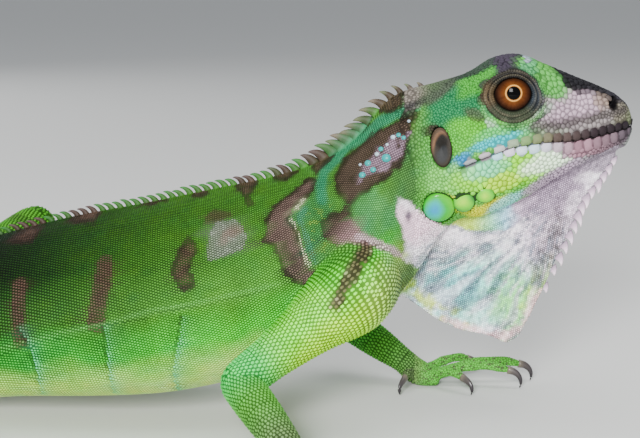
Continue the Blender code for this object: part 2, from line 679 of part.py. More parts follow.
def build_leg(name, leg, upper_limb, lower_limb, kind, root):
    """Upper and lower limb, foot and claws of one leg, parted by thin cuts."""
    skin, horn = material(*SKIN), material(*CLAW)
    side = leg["side"]
    upper_name, lower_name = upper_limb.__name__, lower_limb.__name__
    upper = add_object(f"{upper_name}_{name}", *limb(*upper_limb(leg), side), skin)
    boolean(upper, bpy.data.objects["cutter_body"], "DIFFERENCE")
    lower = add_object(f"{lower_name}_{name}", *limb(*lower_limb(leg), side), skin)
    upper_grown = add_object(f"cutter_{upper_name}_{name}", *limb(*upper_limb(leg), side, GAP))
    boolean(lower, upper_grown, "DIFFERENCE")
    parts, claws = foot_mesh(kind, leg[root], side, leg["turn"], leg["digits"])
    foot = add_object(f"{kind}_{name}", *parts[0], skin)
    boolean(foot, add_object(f"join_{kind}_{name}", *joined(parts[1:])), "UNION", crossing=True)
    lower_grown = add_object(f"cutter_{lower_name}_{name}", *limb(*lower_limb(leg), side, GAP))
    boolean(foot, lower_grown, "DIFFERENCE")
    boolean(foot, bpy.data.objects["cutter_floor"], "DIFFERENCE")
    for i, (tip, way, last) in enumerate(claws):
        add_object(f"claw_{kind}_{name}_{i + 1}", *claw_mesh(tip, way, last), horn)


def limb(places, sizes, side, grow=0.0):
    path = np.array([mirrored(p, side) for p in places])
    return smooth_tube(path, np.array(sizes), 12, 6, grow)


def place_on_origin():
    """Moves the animal so that the origin lies under the middle of its box."""
    bpy.context.view_layer.update()
    graph = bpy.context.evaluated_depsgraph_get()
    low, high = Vector((1e9,) * 3), Vector((-1e9,) * 3)
    for obj in bpy.data.objects:
        if obj.hide_render or obj.type != "MESH":
            continue
        shape = obj.evaluated_get(graph)
        for vertex in shape.data.vertices:
            low = Vector(map(min, low, vertex.co))
            high = Vector(map(max, high, vertex.co))
    shift = Matrix.Translation((-(low.x + high.x) / 2, -(low.y + high.y) / 2, -low.z))
    for obj in bpy.data.objects:
        if obj.type == "MESH":
            obj.data.transform(shift)


def main():
    clear_scene()
    floor_cutter()
    vent = along_at(STATIONS[-1][0])
    add_object("cutter_body", *body_mesh(0.0, vent + 20.0, 44, 26, GAP))
    build_body()
    build_head_pieces()
    build_dewlap()
    for name, leg in FORELEGS.items():
        build_leg(name, leg, upper_arm, forearm, "hand", "wrist")
    for name, leg in HINDLEGS.items():
        build_leg(name, leg, thigh, shank, "foot", "ankle")
    place_on_origin()


main()
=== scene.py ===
"""Looks of a life-size still model of a young green iguana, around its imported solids.

Lengths are millimetres in the animal's own frame: X to the snout, Y to its left, Z up from
the floor, with Y = 0 in the middle of the body. Meshes are turned to metres, and moved to the
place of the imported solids, when they are made.
"""
import math

import bmesh
import bpy
import numpy as np
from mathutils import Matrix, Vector
from mathutils.bvhtree import BVHTree
from mathutils.kdtree import KDTree


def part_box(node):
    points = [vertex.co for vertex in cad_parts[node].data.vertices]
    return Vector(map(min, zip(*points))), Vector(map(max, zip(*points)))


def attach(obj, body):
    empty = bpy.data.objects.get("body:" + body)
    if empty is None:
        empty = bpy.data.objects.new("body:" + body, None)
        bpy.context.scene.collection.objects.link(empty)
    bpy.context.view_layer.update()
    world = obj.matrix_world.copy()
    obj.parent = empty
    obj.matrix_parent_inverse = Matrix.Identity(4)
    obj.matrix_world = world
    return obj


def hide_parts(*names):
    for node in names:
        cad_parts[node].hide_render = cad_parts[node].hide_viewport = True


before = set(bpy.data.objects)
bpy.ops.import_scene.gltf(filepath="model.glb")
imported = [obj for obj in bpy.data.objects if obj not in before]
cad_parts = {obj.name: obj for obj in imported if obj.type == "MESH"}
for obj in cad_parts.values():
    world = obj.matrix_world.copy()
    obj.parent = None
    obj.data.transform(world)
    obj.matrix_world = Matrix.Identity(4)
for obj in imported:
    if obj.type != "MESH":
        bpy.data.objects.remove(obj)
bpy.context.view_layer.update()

MM = 0.001
DRAW = np.random.default_rng(7)

# ---------------------------------------------------------------- driving sizes, mm
COAT = 0.35               # how far the skin lies inside the solids
VOXEL = 0.6               # grain of the skin when its lofts are made one
SKIN_SHARE = 0.24         # of the skin's triangles that are kept when it is thinned
TAIL_LENGTH = 545.0
TAIL_STATIONS = 24
TAIL_SWING = -16.0
TAIL_CURL = 182.0
CREST_ON_TAIL = 0.36
FLOOR_FLAT = 0.35
FLOOR_CLEAR = 0.03        # how far scales and skin stay above the floor

EYE_PLACE = (37.6, 9.4, 88.2)
EYE_RADIUS = 6.1
LID_OPENING = (4.4, 4.1)
PUPIL_SHIFT = (0.15, 0.40)
PUPIL_RADIUS = 1.68
EAR_PLACE = (19.8, 15.6, 74.6)
EAR_HALF_WIDTH, EAR_HALF_HEIGHT = 2.6, 5.0
EAR_LEAN = 0.12           # how far the ear's top leans forward, as a share of its height
SHIELD_PLACE = (19.4, 13.4, 59.2)
SHIELD_RADIUS = 4.2
NOSTRIL = (63.6, 85.4)
NOSTRIL_HALF = (1.35, 1.9)
DEWLAP_EDGE_HALF = 0.75
DEWLAP_ROOT_HALF = 3.6
CLAW_LENGTH = 7.0
CLAW_RADIUS = 1.15
CLAW_TIP_HEIGHT = 0.2

# Pitch of the scales, mm.
LEG_PITCH = 1.12
FIRST_RING = 13.6         # x of the first ring of scales behind the head
SETTLED_WITHIN = 0.8      # how far from the skin a seed may be and still grow there
PALM_PITCH = 0.9
DIGIT_PITCH = 0.8
DEWLAP_PITCH = 0.62

MAP_PATCH_HALF = 0.0015   # half the width of a scale's patch on the map named OFBake


def world_shift():
    """From the animal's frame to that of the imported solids, read from the right eye."""
    low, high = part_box("eye_right")
    middle = (np.array(low) + np.array(high)) / 2
    return middle - np.array((EYE_PLACE[0], -EYE_PLACE[1], EYE_PLACE[2])) * MM


SHIFT = world_shift()


def to_world(points):
    return np.asarray(points, float) * MM + SHIFT


# ---------------------------------------------------------------- the body's stations
# From snout to vent: x, z and pitch of the section's middle, half width, height above
# and below the middle, and how square the section is above and below.
STATIONS = (
    (69.0, 79.4, 0, 1.6, 2.0, 2.2, 2.0, 2.0),
    (68.2, 79.4, 0, 4.0, 4.6, 4.9, 2.2, 2.2),
    (66.0, 79.6, 1, 6.2, 7.0, 6.6, 2.4, 2.2),
    (61.5, 79.8, 2, 8.3, 9.4, 8.8, 2.6, 2.2),
    (54.6, 79.6, 2, 10.6, 12.4, 12.2, 2.6, 2.1),
    (47.2, 79.2, 3, 13.0, 16.0, 15.8, 2.8, 2.1),
    (41.0, 78.6, 4, 14.6, 19.1, 18.8, 3.0, 2.2),
    (35.0, 77.2, 5, 15.6, 19.7, 20.0, 2.8, 2.3),
    (28.6, 75.0, 6, 16.6, 18.2, 20.2, 2.1, 2.5),
    (21.8, 72.0, 10, 16.8, 18.8, 18.0, 1.8, 2.4),
    (14.5, 66.8, 19, 16.2, 21.4, 18.2, 1.6, 1.9),
    (6.5, 59.0, 26, 17.4, 19.3, 20.4, 1.6, 1.8),
    (-4.5, 49.0, 20, 21.0, 21.8, 23.4, 1.6, 2.0),
    (-17.5, 42.0, 14, 25.0, 24.3, 24.8, 1.6, 2.1),
    (-35.0, 36.6, 11, 27.6, 25.8, 25.4, 1.7, 2.2),
    (-55.0, 32.4, 9, 28.6, 25.7, 25.6, 1.7, 2.3),
    (-75.0, 29.0, 8, 27.6, 25.2, 23.6, 1.7, 2.3),
    (-95.0, 26.4, 6, 24.6, 22.8, 21.6, 1.8, 2.3),
    (-112.0, 23.4, 6, 20.6, 20.4, 20.6, 1.9, 2.2),
    (-126.0, 19.2, 8, 16.0, 17.8, 17.6, 2.0, 2.1),
    (-139.0, 15.2, 6, 12.6, 15.6, 15.2, 2.0, 2.1),
)
TAIL_ROOT = 21


def tail_half_height(share):
    """Half the height of the tail at this share of its length."""
    return 14.6 * (1 - share) ** 1.15 + 0.9


def tail_rows():
    """Stations of the tail on the floor, with its heading, after those of the trunk."""
    rows = []
    x, y = STATIONS[-1][0], 0.0
    step = TAIL_LENGTH / TAIL_STATIONS
    for i in range(1, TAIL_STATIONS + 1):
        share = i / TAIL_STATIONS
        swing = TAIL_SWING * math.sin(math.pi * min(share / 0.42, 1.0))
        curl = TAIL_CURL * max(0.0, share - 0.16) ** 1.25 / 0.84**1.25
        heading = math.radians(-swing - curl)
        x -= step * math.cos(heading)
        y -= step * math.sin(heading)
        high = tail_half_height(share)
        rows.append((x, y, high - FLOOR_FLAT, 0, heading, high * 0.88, high, high, 2.0, 2.0))
    return rows


def run_along(path):
    """Distances of the points of a path from its start."""
    steps = np.linalg.norm(np.diff(np.asarray(path, float), axis=0), axis=1)
    return np.concatenate([[0.0], np.cumsum(steps)])


def body_rows():
    """Every station: x, y, z, pitch, heading, half width, up, down, square above, below."""
    trunk = [(x, 0.0, z, math.radians(p), 0.0, w, u, d, a, b) for x, z, p, w, u, d, a, b in STATIONS]
    return np.array(trunk + tail_rows())


ROWS = body_rows()
ALONG = run_along(ROWS[:, :3])
VENT = ALONG[TAIL_ROOT - 1]


def smooth_rows(keys, rows, at):
    """Rows read at other places from a smooth curve through those given."""
    keys = np.asarray(keys, float)
    rows = np.asarray(rows, float)
    at = np.clip(np.atleast_1d(np.asarray(at, float)), keys[0], keys[-1])
    slopes = np.gradient(rows, keys, axis=0)
    i = np.clip(np.searchsorted(keys, at, side="right") - 1, 0, len(keys) - 2)
    span = keys[i + 1] - keys[i]
    t = ((at - keys[i]) / span)[:, None]
    span = span[:, None]
    start = rows[i] * (2 * t**3 - 3 * t**2 + 1) + rows[i + 1] * (3 * t**2 - 2 * t**3)
    return start + span * (slopes[i] * (t**3 - 2 * t**2 + t) + slopes[i + 1] * (t**3 - t**2))


def superellipse(angle, above, below):
    cos, sin = np.cos(angle), np.sin(angle)
    power = 2 / np.where(sin > 0, above, below)
    return np.sign(cos) * np.abs(cos) ** power, np.sign(sin) * np.abs(sin) ** power


def section_frame(row):
    """Unit vectors forward, left and up of sections, from their pitch and heading."""
    pitch, heading = row[3], row[4]
    forward = np.array([np.cos(heading) * np.cos(pitch), np.sin(heading) * np.cos(pitch), np.sin(pitch)])
    left = np.array([-np.sin(heading), np.cos(heading), 0 * heading])
    return forward, left, np.cross(forward.T, left.T).T


def body_points(along, angle, grow=0.0):
    """Points on the body at distances from the snout and angles round it: 0 left, 90 up."""
    row = smooth_rows(ALONG, ROWS, along).T
    _, left, up = section_frame(row)
    cos, sin = superellipse(angle, row[8], row[9])
    high = np.where(sin > 0, row[6], row[7]) + grow
    ray = left * cos * (row[5] + grow) + up * sin * high
    return (row[:3] + ray).T + relief((row[:3] + ray).T, ray.T)


def bump(points, centre, radius, height):
    """A round swelling of this height about a centre."""
    gone = np.linalg.norm(points - np.asarray(centre), axis=1) / radius
    return height * np.exp(-(gone**2) * 2.0)


def folded_side(points):
    """Points with both sides of the animal laid on its left."""
    return points * np.array([1.0, 0.0, 1.0]) + np.abs(points) * np.array([0.0, 1.0, 0.0])


# Swellings and, below 0, hollows of the head's left side: x, y, z, radius, height.
SWELLINGS = (
    (EYE_PLACE[0], 14.0, EYE_PLACE[2], 9.0, 1.5), (22.0, 15.5, 64.0, 10.0, 1.2), (29.0, 13.5, 90.0, 7.0, 0.6),
    (52.0, 11.0, 84.5, 7.0, -0.9), (63.6, 6.8, 85.6, 3.0, 0.9), (10.0, 16.0, 70.0, 8.0, -1.2),
)


def relief(points, rays):
    """The head's swellings and hollows, the same on both sides, as moves along the rays."""
    folded = folded_side(points)
    out = sum(bump(folded, place[:3], place[3], place[4]) for place in SWELLINGS)
    unit = rays / np.maximum(np.linalg.norm(rays, axis=1), 1e-6)[:, None]
    return unit * out[:, None]


def along_at(x):
    """Distance from the snout of the trunk section whose middle is at this x."""
    return float(np.interp(-x, -ROWS[:TAIL_ROOT, 0], ALONG[:TAIL_ROOT]))


# ---------------------------------------------------------------- legs
# Places are of the left side, and the side mirrors them. Turn is how far the foot points outwards, in
# degrees. Digits go from the inner one out: spread in degrees, length, height of the tip.
FORELEGS = {
    "right": {
        "side": -1, "outer": (-2.0, 22.0, 38.5), "elbow": (-29.5, 36.0, 18.2), "wrist": (-14.5, 57.0, 6.4),
        "turn": 22.0,
        "digits": ((-60, 11.0, 3.6), (-22, 18.0, 4.4), (0, 23.5, 4.8), (14, 25.5, 4.8), (44, 18.0, 4.2)),
    },
    "left": {
        "side": 1, "outer": (-1.0, 22.5, 38.0), "elbow": (-12.0, 41.0, 20.5), "wrist": (9.5, 34.5, 7.2),
        "turn": -4.0,
        "digits": ((-112, 8.0, 4.4), (-36, 12.5, 4.6), (-2, 23.0, 5.2), (12, 26.5, 5.2), (40, 18.0, 4.2)),
    },
}
HIND_DIGITS = ((-30, 13.0, 2.5), (-13, 21.0, 2.8), (2, 30.0, 3.0), (14, 39.0, 3.0), (42, 25.0, 2.7))
HINDLEGS = {
    "right": {
        "side": -1, "knee": (-103.0, 46.5, 42.0), "ankle": (-132.0, 58.0, 7.5), "turn": 24.0,
        "digits": HIND_DIGITS,
    },
    "left": {
        "side": 1, "knee": (-100.5, 46.5, 43.0), "ankle": (-131.0, 58.0, 7.5), "turn": 27.0,
        "digits": HIND_DIGITS,
    },
}
SHOULDER = (0.5, 13.0, 40.5)
HIP = (-117.0, 8.0, 25.0)
PALM_LENGTH = {"hand": 9.5, "foot": 17.0}
DIGIT_RADIUS = {"hand": (1.9, 1.75, 1.6, 1.5, 1.3), "foot": (2.1, 1.95, 1.75, 1.6, 1.35)}
PALM_SIZES = {
    "hand": [(4.2, 3.8), (5.2, 3.9), (4.6, 2.6)],
    "foot": [(4.2, 4.0), (4.8, 3.9), (5.0, 2.6)],
}


LIMB_OF = {"hand": "foreleg", "foot": "hindleg"}


def mirrored(place, side):
    return (place[0], place[1] * side, place[2])


def between(a, b, share):
    return tuple(p + (q - p) * share for p, q in zip(a, b))


def foreleg_line(leg):
    """Places and sizes down a foreleg, to the elbow and on to the wrist."""
    outer, elbow, wrist = leg["outer"], leg["elbow"], leg["wrist"]
    upper = [SHOULDER, outer, between(outer, elbow, 0.42), between(outer, elbow, 0.78), elbow]
    upper_sizes = [(10.5, 11.0), (10.2, 11.2), (7.2, 7.6), (5.6, 5.8), (5.3, 5.6)]
    lower = [elbow, between(elbow, wrist, 0.3), between(elbow, wrist, 0.68), wrist]
    lower_sizes = [(5.3, 5.6), (5.3, 5.4), (4.8, 4.9), (4.2, 3.8)]
    return (upper, upper_sizes), (lower, lower_sizes)


def hindleg_line(leg):
    """Places and sizes down a hind leg, to the knee and on to the ankle."""
    knee, ankle = leg["knee"], leg["ankle"]
    upper = [HIP, between(HIP, knee, 0.32), between(HIP, knee, 0.7), knee]
    upper_sizes = [(11.5, 11.0), (10.4, 10.6), (8.6, 9.0), (6.6, 7.2)]
    lower = [knee, between(knee, ankle, 0.3), between(knee, ankle, 0.7), ankle]
    lower_sizes = [(6.6, 7.2), (6.9, 6.9), (5.2, 5.2), (4.2, 4.0)]
    return (upper, upper_sizes), (lower, lower_sizes)


def foot_plan(kind, root, side, turn, digits):
    """The palm's middle line, pressed on the floor, and each digit's middle line with its heading."""
    ahead = math.radians(turn) * side
    forward = Vector((math.cos(ahead), math.sin(ahead), 0))
    across = Vector((-math.sin(ahead), math.cos(ahead), 0)) * side
    start = Vector(mirrored(root, side))
    knuckle = start + forward * PALM_LENGTH[kind]
    knuckle.z = PALM_SIZES[kind][2][1] - FLOOR_FLAT
    middle = start.lerp(knuckle, 0.5)
    middle.z = PALM_SIZES[kind][1][1] - FLOOR_FLAT
    palm = [start, middle, knuckle + forward * 1.5]
    lines = []
    for i, (spread, length, tip_height) in enumerate(digits):
        lean = math.radians(spread)
        way = forward * math.cos(lean) + across * math.sin(lean)
        base = start.lerp(knuckle, 0.5 if i in (0, 4) else 0.85) + across * (i - 2) * 1.7
        base.z = 2.8
        tip = base + way * length
        tip.z = tip_height
        bend = base.lerp(tip, 0.5)
        bend.z = tip_height + 0.7
        last = base.lerp(tip, 0.84)
        last.z = tip_height + 0.9
        lines.append(([base - way * 3.0, base, bend, last, tip], way))
    return palm, lines


def every_leg():
    """Each leg in turn: kind of foot, side, its numbers, both its lines, its palm and its digits."""
    for kind, legs, lines, root in (
        ("hand", FORELEGS, foreleg_line, "wrist"), ("foot", HINDLEGS, hindleg_line, "ankle"),
    ):
        for name, leg in legs.items():
            palm, digits = foot_plan(kind, leg[root], leg["side"], leg["turn"], leg["digits"])
            yield kind, name, leg, lines(leg), palm, digits


def digit_sizes(kind):
    return np.array([(radius, radius) for radius in DIGIT_RADIUS[kind]])


# ---------------------------------------------------------------- dewlap
DEWLAP_TOP = (
    (10.5, 50.0), (17.0, 57.0), (26.0, 62.0), (36.0, 64.0), (46.0, 67.5), (56.0, 72.0), (64.5, 75.0),
)
DEWLAP_EDGE = (
    (9.4, 33.0), (14.0, 30.4), (18.3, 27.2), (22.5, 25.0), (28.0, 23.4), (34.0, 22.3),
    (38.0, 20.8), (40.4, 22.2), (43.2, 27.0), (46.2, 33.2), (50.2, 42.5), (54.0, 51.6),
    (57.2, 59.6), (61.2, 65.0), (65.4, 71.4),
)
DEWLAP_SPINES = 14
DEWLAP_SPINE_SIZES = (3.1, 1.1, 50)    # width, thickness and lean in degrees


def arc_keys(line):
    keys = run_along(line)
    return keys / keys[-1]


def dewlap_edge(share):
    """Places on the free edge, from the chest, 0, to the chin, 1."""
    return smooth_rows(arc_keys(DEWLAP_EDGE), np.array(DEWLAP_EDGE), share)


def dewlap_points(u, v, side, grow=0.0):
    """Places on one face of the dewlap: u from chest to chin, v from the throat to the edge."""
    top = smooth_rows(arc_keys(DEWLAP_TOP), np.array(DEWLAP_TOP), u)
    flat = top + (dewlap_edge(u) - top) * v[:, None]
    thick = DEWLAP_EDGE_HALF + (DEWLAP_ROOT_HALF - DEWLAP_EDGE_HALF) * (1 - v) ** 1.6 + grow
    sway = 0.9 * np.sin(u * 9.0 + 0.6) * v * (1 - u)
    return np.stack([flat[:, 0], sway + side * thick, flat[:, 1]], axis=1)


# ---------------------------------------------------------------- mesh tools
def skinned(rings):
    """Points and faces of a closed tube over rings of equal count, with a point at each end."""
    rings = [np.asarray(r, float) for r in rings]
    count = len(rings[0])
    points = np.concatenate(rings + [rings[0].mean(axis=0)[None], rings[-1].mean(axis=0)[None]])
    last = (len(rings) - 1) * count
    faces = []
    for i in range(len(rings) - 1):
        low, high = i * count, (i + 1) * count
        for j in range(count):
            k = (j + 1) % count
            faces.append((low + j, low + k, high + k, high + j))
    for j in range(count):
        k = (j + 1) % count
        faces.append((k, j, len(points) - 2))
        faces.append((last + j, last + k, len(points) - 1))
    return points, faces


def tube(path, sizes, count, grow=0.0):
    """Rings round a path. Each size is a pair, half width and half height of the section."""
    path = np.asarray(path, float)
    heading = np.gradient(path, axis=0)
    heading /= np.linalg.norm(heading, axis=1)[:, None]
    angles = np.linspace(0, 2 * math.pi, count, endpoint=False)
    rings = []
    for centre, ahead, (wide, high) in zip(path, heading, sizes):
        side = np.cross((0.0, 0.0, 1.0), ahead)
        if np.linalg.norm(side) < 0.3:
            side = np.cross((1.0, 0.0, 0.0), ahead)
        side /= np.linalg.norm(side)
        top = np.cross(ahead, side)
        ring = np.outer(np.cos(angles) * (wide + grow), side)
        rings.append(centre + ring + np.outer(np.sin(angles) * (high + grow), top))
    return rings


def smooth_line(path, sizes, rings):
    """A path and its sizes read at even steps from a smooth curve."""
    keys = run_along(path)
    table = smooth_rows(keys, np.hstack([path, sizes]), np.linspace(0, keys[-1], rings))
    return table[:, :3], table[:, 3:]


def limb_line(part, side, rings):
    places, sizes = part
    return smooth_line(np.array([mirrored(p, side) for p in places]), np.array(sizes), rings)


def joined(parts):
    """Several point and face lists as one."""
    points, faces, base = [], [], 0
    for some_points, some_faces in parts:
        points.append(np.asarray(some_points, float))
        faces.extend(tuple(i + base for i in face) for face in some_faces)
        base += len(some_points)
    return np.concatenate(points), faces


def tint_points(mesh, tints):
    """A colour for each point of a mesh, which its finish reads."""
    layer = mesh.attributes.new("tint", "FLOAT_COLOR", "POINT")
    rgba = np.ones((len(tints), 4), np.float32)
    rgba[:, :3] = tints
    layer.data.foreach_set("color", rgba.ravel())


def shown_piece(name, mesh, finish, slot):
    """A mesh as a piece of the model that rides its one body."""
    mesh.materials.append(finish)
    obj = bpy.data.objects.new(name, mesh)
    bpy.context.scene.collection.objects.link(obj)
    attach(obj, "root")
    return obj


def add_piece(name, points, faces, finish, slot, tints):
    """A smooth piece of the model from points in mm, with a colour for each point."""
    mesh = bpy.data.meshes.new(name)
    mesh.from_pydata(to_world(points), [], faces)
    tint_points(mesh, tints)
    mesh.shade_smooth()
    return shown_piece(name, mesh, finish, slot)


def mesh_arrays(obj):
    """Points and triangles of an object as it is shown, in its own units."""
    shown = obj.evaluated_get(bpy.context.evaluated_depsgraph_get())
    mesh = shown.to_mesh()
    mesh.calc_loop_triangles()
    points = np.empty(len(mesh.vertices) * 3, np.float32)
    mesh.vertices.foreach_get("co", points)
    faces = np.empty(len(mesh.loop_triangles) * 3, np.int32)
    mesh.loop_triangles.foreach_get("vertices", faces)
    shown.to_mesh_clear()
    return points.reshape(-1, 3).astype(float), faces.reshape(-1, 3)


def helper(name, points, faces):
    """A mesh to work on, which is dropped again."""
    mesh = bpy.data.meshes.new(name)
    mesh.from_pydata(points, [], faces)
    obj = bpy.data.objects.new(name, mesh)
    bpy.context.scene.collection.objects.link(obj)
    return obj


def drop(obj):
    mesh = obj.data
    bpy.data.objects.remove(obj, do_unlink=True)
    bpy.data.meshes.remove(mesh)


def point_normals(points, faces):
    """Smooth normals of the points of a triangle mesh."""
    a, b, c = (points[faces[:, i]] for i in range(3))
    face_normals = np.cross(b - a, c - a)
    total = np.zeros_like(points)
    for i in range(3):
        for axis in range(3):
            total[:, axis] += np.bincount(faces[:, i], face_normals[:, axis], len(points))
    return total / np.maximum(np.linalg.norm(total, axis=1), 1e-9)[:, None]


def relaxed(points, faces, times, weight=None, share=0.5):
    """Points moved towards the mean of their neighbours."""
    pairs = np.concatenate([faces[:, [0, 1]], faces[:, [1, 2]], faces[:, [2, 0]]])
    count = np.maximum(np.bincount(pairs.ravel(), minlength=len(points)), 1)
    share = share if weight is None else share * weight[:, None]
    for _ in range(times):
        total = np.zeros_like(points)
        for axis in range(3):
            total[:, axis] = np.bincount(pairs[:, 0], points[pairs[:, 1], axis], len(points))
            total[:, axis] += np.bincount(pairs[:, 1], points[pairs[:, 0], axis], len(points))
        points = points + (total / count[:, None] - points) * share
    return points


def noise(points, lump, seed=0):
    """Smooth noise from -1 to 1, in lumps of about this size."""
    spread = np.asarray(points, float) / lump + seed * 17.31
    cell = np.floor(spread).astype(np.int64)
    part = spread - cell
    part = part * part * (3 - 2 * part)
    total = np.zeros(len(spread))
    for corner in np.ndindex(2, 2, 2):
        key = cell + np.array(corner)
        code = (key[:, 0] * 73856093) ^ (key[:, 1] * 19349663) ^ (key[:, 2] * 83492791)
        value = ((code * 48271) >> 7 & 0xFFFF) / 32767.5 - 1
        total += value * np.prod(np.where(corner, part, 1 - part), axis=1)
    return total


def ramp(value, low, high):
    """0 below low, 1 above high, smooth between."""
    t = np.clip((value - low) / (high - low), 0, 1)
    return t * t * (3 - 2 * t)


def hill(value, width):
    """1 where the value is 0, falling away on both sides over about this width."""
    return np.exp(-((value / width) ** 2))


# ---------------------------------------------------------------- the skin
def body_loft():
    """One tube from the snout to the tail's tip, finer on the head."""
    stops = np.concatenate([
        np.arange(0.0, 75.0, 0.8), np.arange(75.0, VENT, 1.6), np.arange(VENT, ALONG[-1], 2.4),
        [ALONG[-1]],
    ])
    angles = np.linspace(0, 2 * math.pi, 96, endpoint=False)
    return skinned([body_points(np.full(96, s), angles, -COAT) for s in stops])


def joint_loft(place, radius):
    """A ball that rounds an elbow or a knee."""
    turn = np.linspace(0.05, math.pi - 0.05, 14)
    path = np.array(place) - np.outer(np.cos(turn) * radius, (0, 0, 1.0))
    sizes = np.repeat(np.sin(turn)[:, None] * radius, 2, axis=1)
    return skinned(tube(path, sizes, 24, -COAT))


def limb_lofts():
    """Every limb, palm and digit as closed tubes."""
    parts = []
    for kind, _, leg, lines, palm, digits in every_leg():
        for line in lines:
            path, sizes = limb_line(line, leg["side"], 30)
            parts.append(skinned(tube(path, sizes, 32, -COAT)))
        parts.append(joint_loft(path[0], sizes[0].min() - 0.2))
        path, sizes = smooth_line(np.array(palm), np.array(PALM_SIZES[kind]), 12)
        parts.append(skinned(tube(path, sizes, 28, -COAT)))
        for digit, _ in digits:
            path, sizes = smooth_line(np.array(digit), digit_sizes(kind), 22)
            parts.append(skinned(tube(path, sizes * knuckles(22)[:, None], 16, -0.6 * COAT)))
    return parts


def knuckles(count):
    """Swelling of a digit at its joints, as a factor at even steps along it."""
    share = np.linspace(0, 1, count)
    return 1 + 0.07 * np.cos(share * 2 * math.pi * 3.5)


def dewlap_loft(columns=64, rows=26):
    rings = []
    v = np.linspace(0, 1, rows)
    for u in np.linspace(0, 1, columns):
        near = dewlap_points(np.full(rows, u), v, -1, -0.6 * COAT)
        far = dewlap_points(np.full(rows, u), v, 1, -0.6 * COAT)
        rings.append(np.concatenate([near, far[::-1]]))
    return skinned(rings)


# Where the skin is rounded off: x, y, z, radius, strength.
SOFT_PLACES = ((-2.0, 20.0, 40.0, 15.0, 1.0), (-112.0, 18.0, 30.0, 15.0, 1.0), (14.0, 2.0, 50.0, 12.0, 0.8))


def soft_places(points):
    """How much to round off the skin where a limb leaves the body."""
    folded = folded_side(points)
    weight = sum(bump(folded, place[:3], place[3], place[4]) for place in SOFT_PLACES)
    return np.clip(weight * 1.4, 0, 1)


def lid_squeeze(turn):
    """How much narrower the lids' rings are above the eye than below it."""
    return 1 + 0.40 * ramp(np.sin(turn + 0.3), 0.0, 0.9)


def lid_place(points, side):
    """For points near an eye: distance out from the lids' edge, and direction round it."""
    dx, dz = points[:, 0] - EYE_PLACE[0], points[:, 2] - EYE_PLACE[2]
    turn = np.arctan2(dz, dx)
    wide, high = LID_OPENING
    edge = 1 / np.sqrt((np.cos(turn) / wide) ** 2 + (np.sin(turn) / high) ** 2)
    edge *= 1 + 0.05 * np.abs(np.cos(turn)) ** 14
    far = (np.hypot(dx, dz) - edge) * lid_squeeze(turn)
    far += 0.28 * noise(points, 2.4, 53) * ramp(far, 0.5, 2.0)
    far[points[:, 1] * side < 6.0] = 99.0
    return far, turn, edge


def from_lids(points):
    """Distance out from the nearer eye's lids."""
    return np.minimum(lid_place(points, 1)[0], lid_place(points, -1)[0])


def from_ear(points):
    """Distance from the middle of an ear drum, 1 at its rim."""
    run, rise = points[:, 0] - EAR_PLACE[0], points[:, 2] - EAR_PLACE[2]
    return np.hypot((run + EAR_LEAN * rise) / EAR_HALF_WIDTH, rise / EAR_HALF_HEIGHT)


MOUTH_LINE = np.array((
    (23.6, 69.2), (26.0, 70.2), (30.0, 71.9), (38.0, 74.9), (46.0, 75.9), (53.0, 76.0),
    (60.0, 77.2), (66.0, 78.6), (69.2, 79.4),
))


def from_line(points, line):
    """Signed distance above a line in the X, Z plane, and the distance run along it."""
    flat = points[:, [0, 2]]
    best = np.full(len(flat), 1e9)
    run = np.zeros(len(flat))
    signed = np.zeros(len(flat))
    done = 0.0
    for a, b in zip(line[:-1], line[1:]):
        way = b - a
        length = np.linalg.norm(way)
        way = way / length
        t = np.clip((flat - a) @ way, 0, length)
        off = flat - (a + t[:, None] * way)
        gone = np.linalg.norm(off, axis=1)
        near = gone < best
        best = np.where(near, gone, best)
        run = np.where(near, done + t, run)
        above = np.sign(off[:, 1] * way[0] - off[:, 0] * way[1])
        signed = np.where(near, gone * above, signed)
        done += length
    return signed, run


# The fold along the flank and those that run down from it.
FLANK_FOLD = np.array((
    (-112.0, 20.0), (-92.7, 23.6), (-76.0, 28.8), (-64.8, 31.2), (-54.3, 34.7), (-43.3, 36.6),
    (-30.3, 39.6), (-16.0, 42.6),
))
BELLY_FOLDS = (
    np.array(((-88.4, 29.4), (-85.3, 24.9), (-83.7, 17.3), (-84.5, 9.6))),
    np.array(((-65.0, 31.2), (-64.6, 23.7), (-65.2, 10.2))),
    np.array(((-44.8, 34.1), (-46.1, 26.7), (-48.3, 18.0), (-49.0, 9.5))),
)


def from_nostril(points):
    """Distance from a nostril's middle, 1 at its rim."""
    across, up = points[:, 0] - NOSTRIL[0], points[:, 2] - NOSTRIL[1]
    return np.hypot(across / NOSTRIL_HALF[0], up / NOSTRIL_HALF[1])


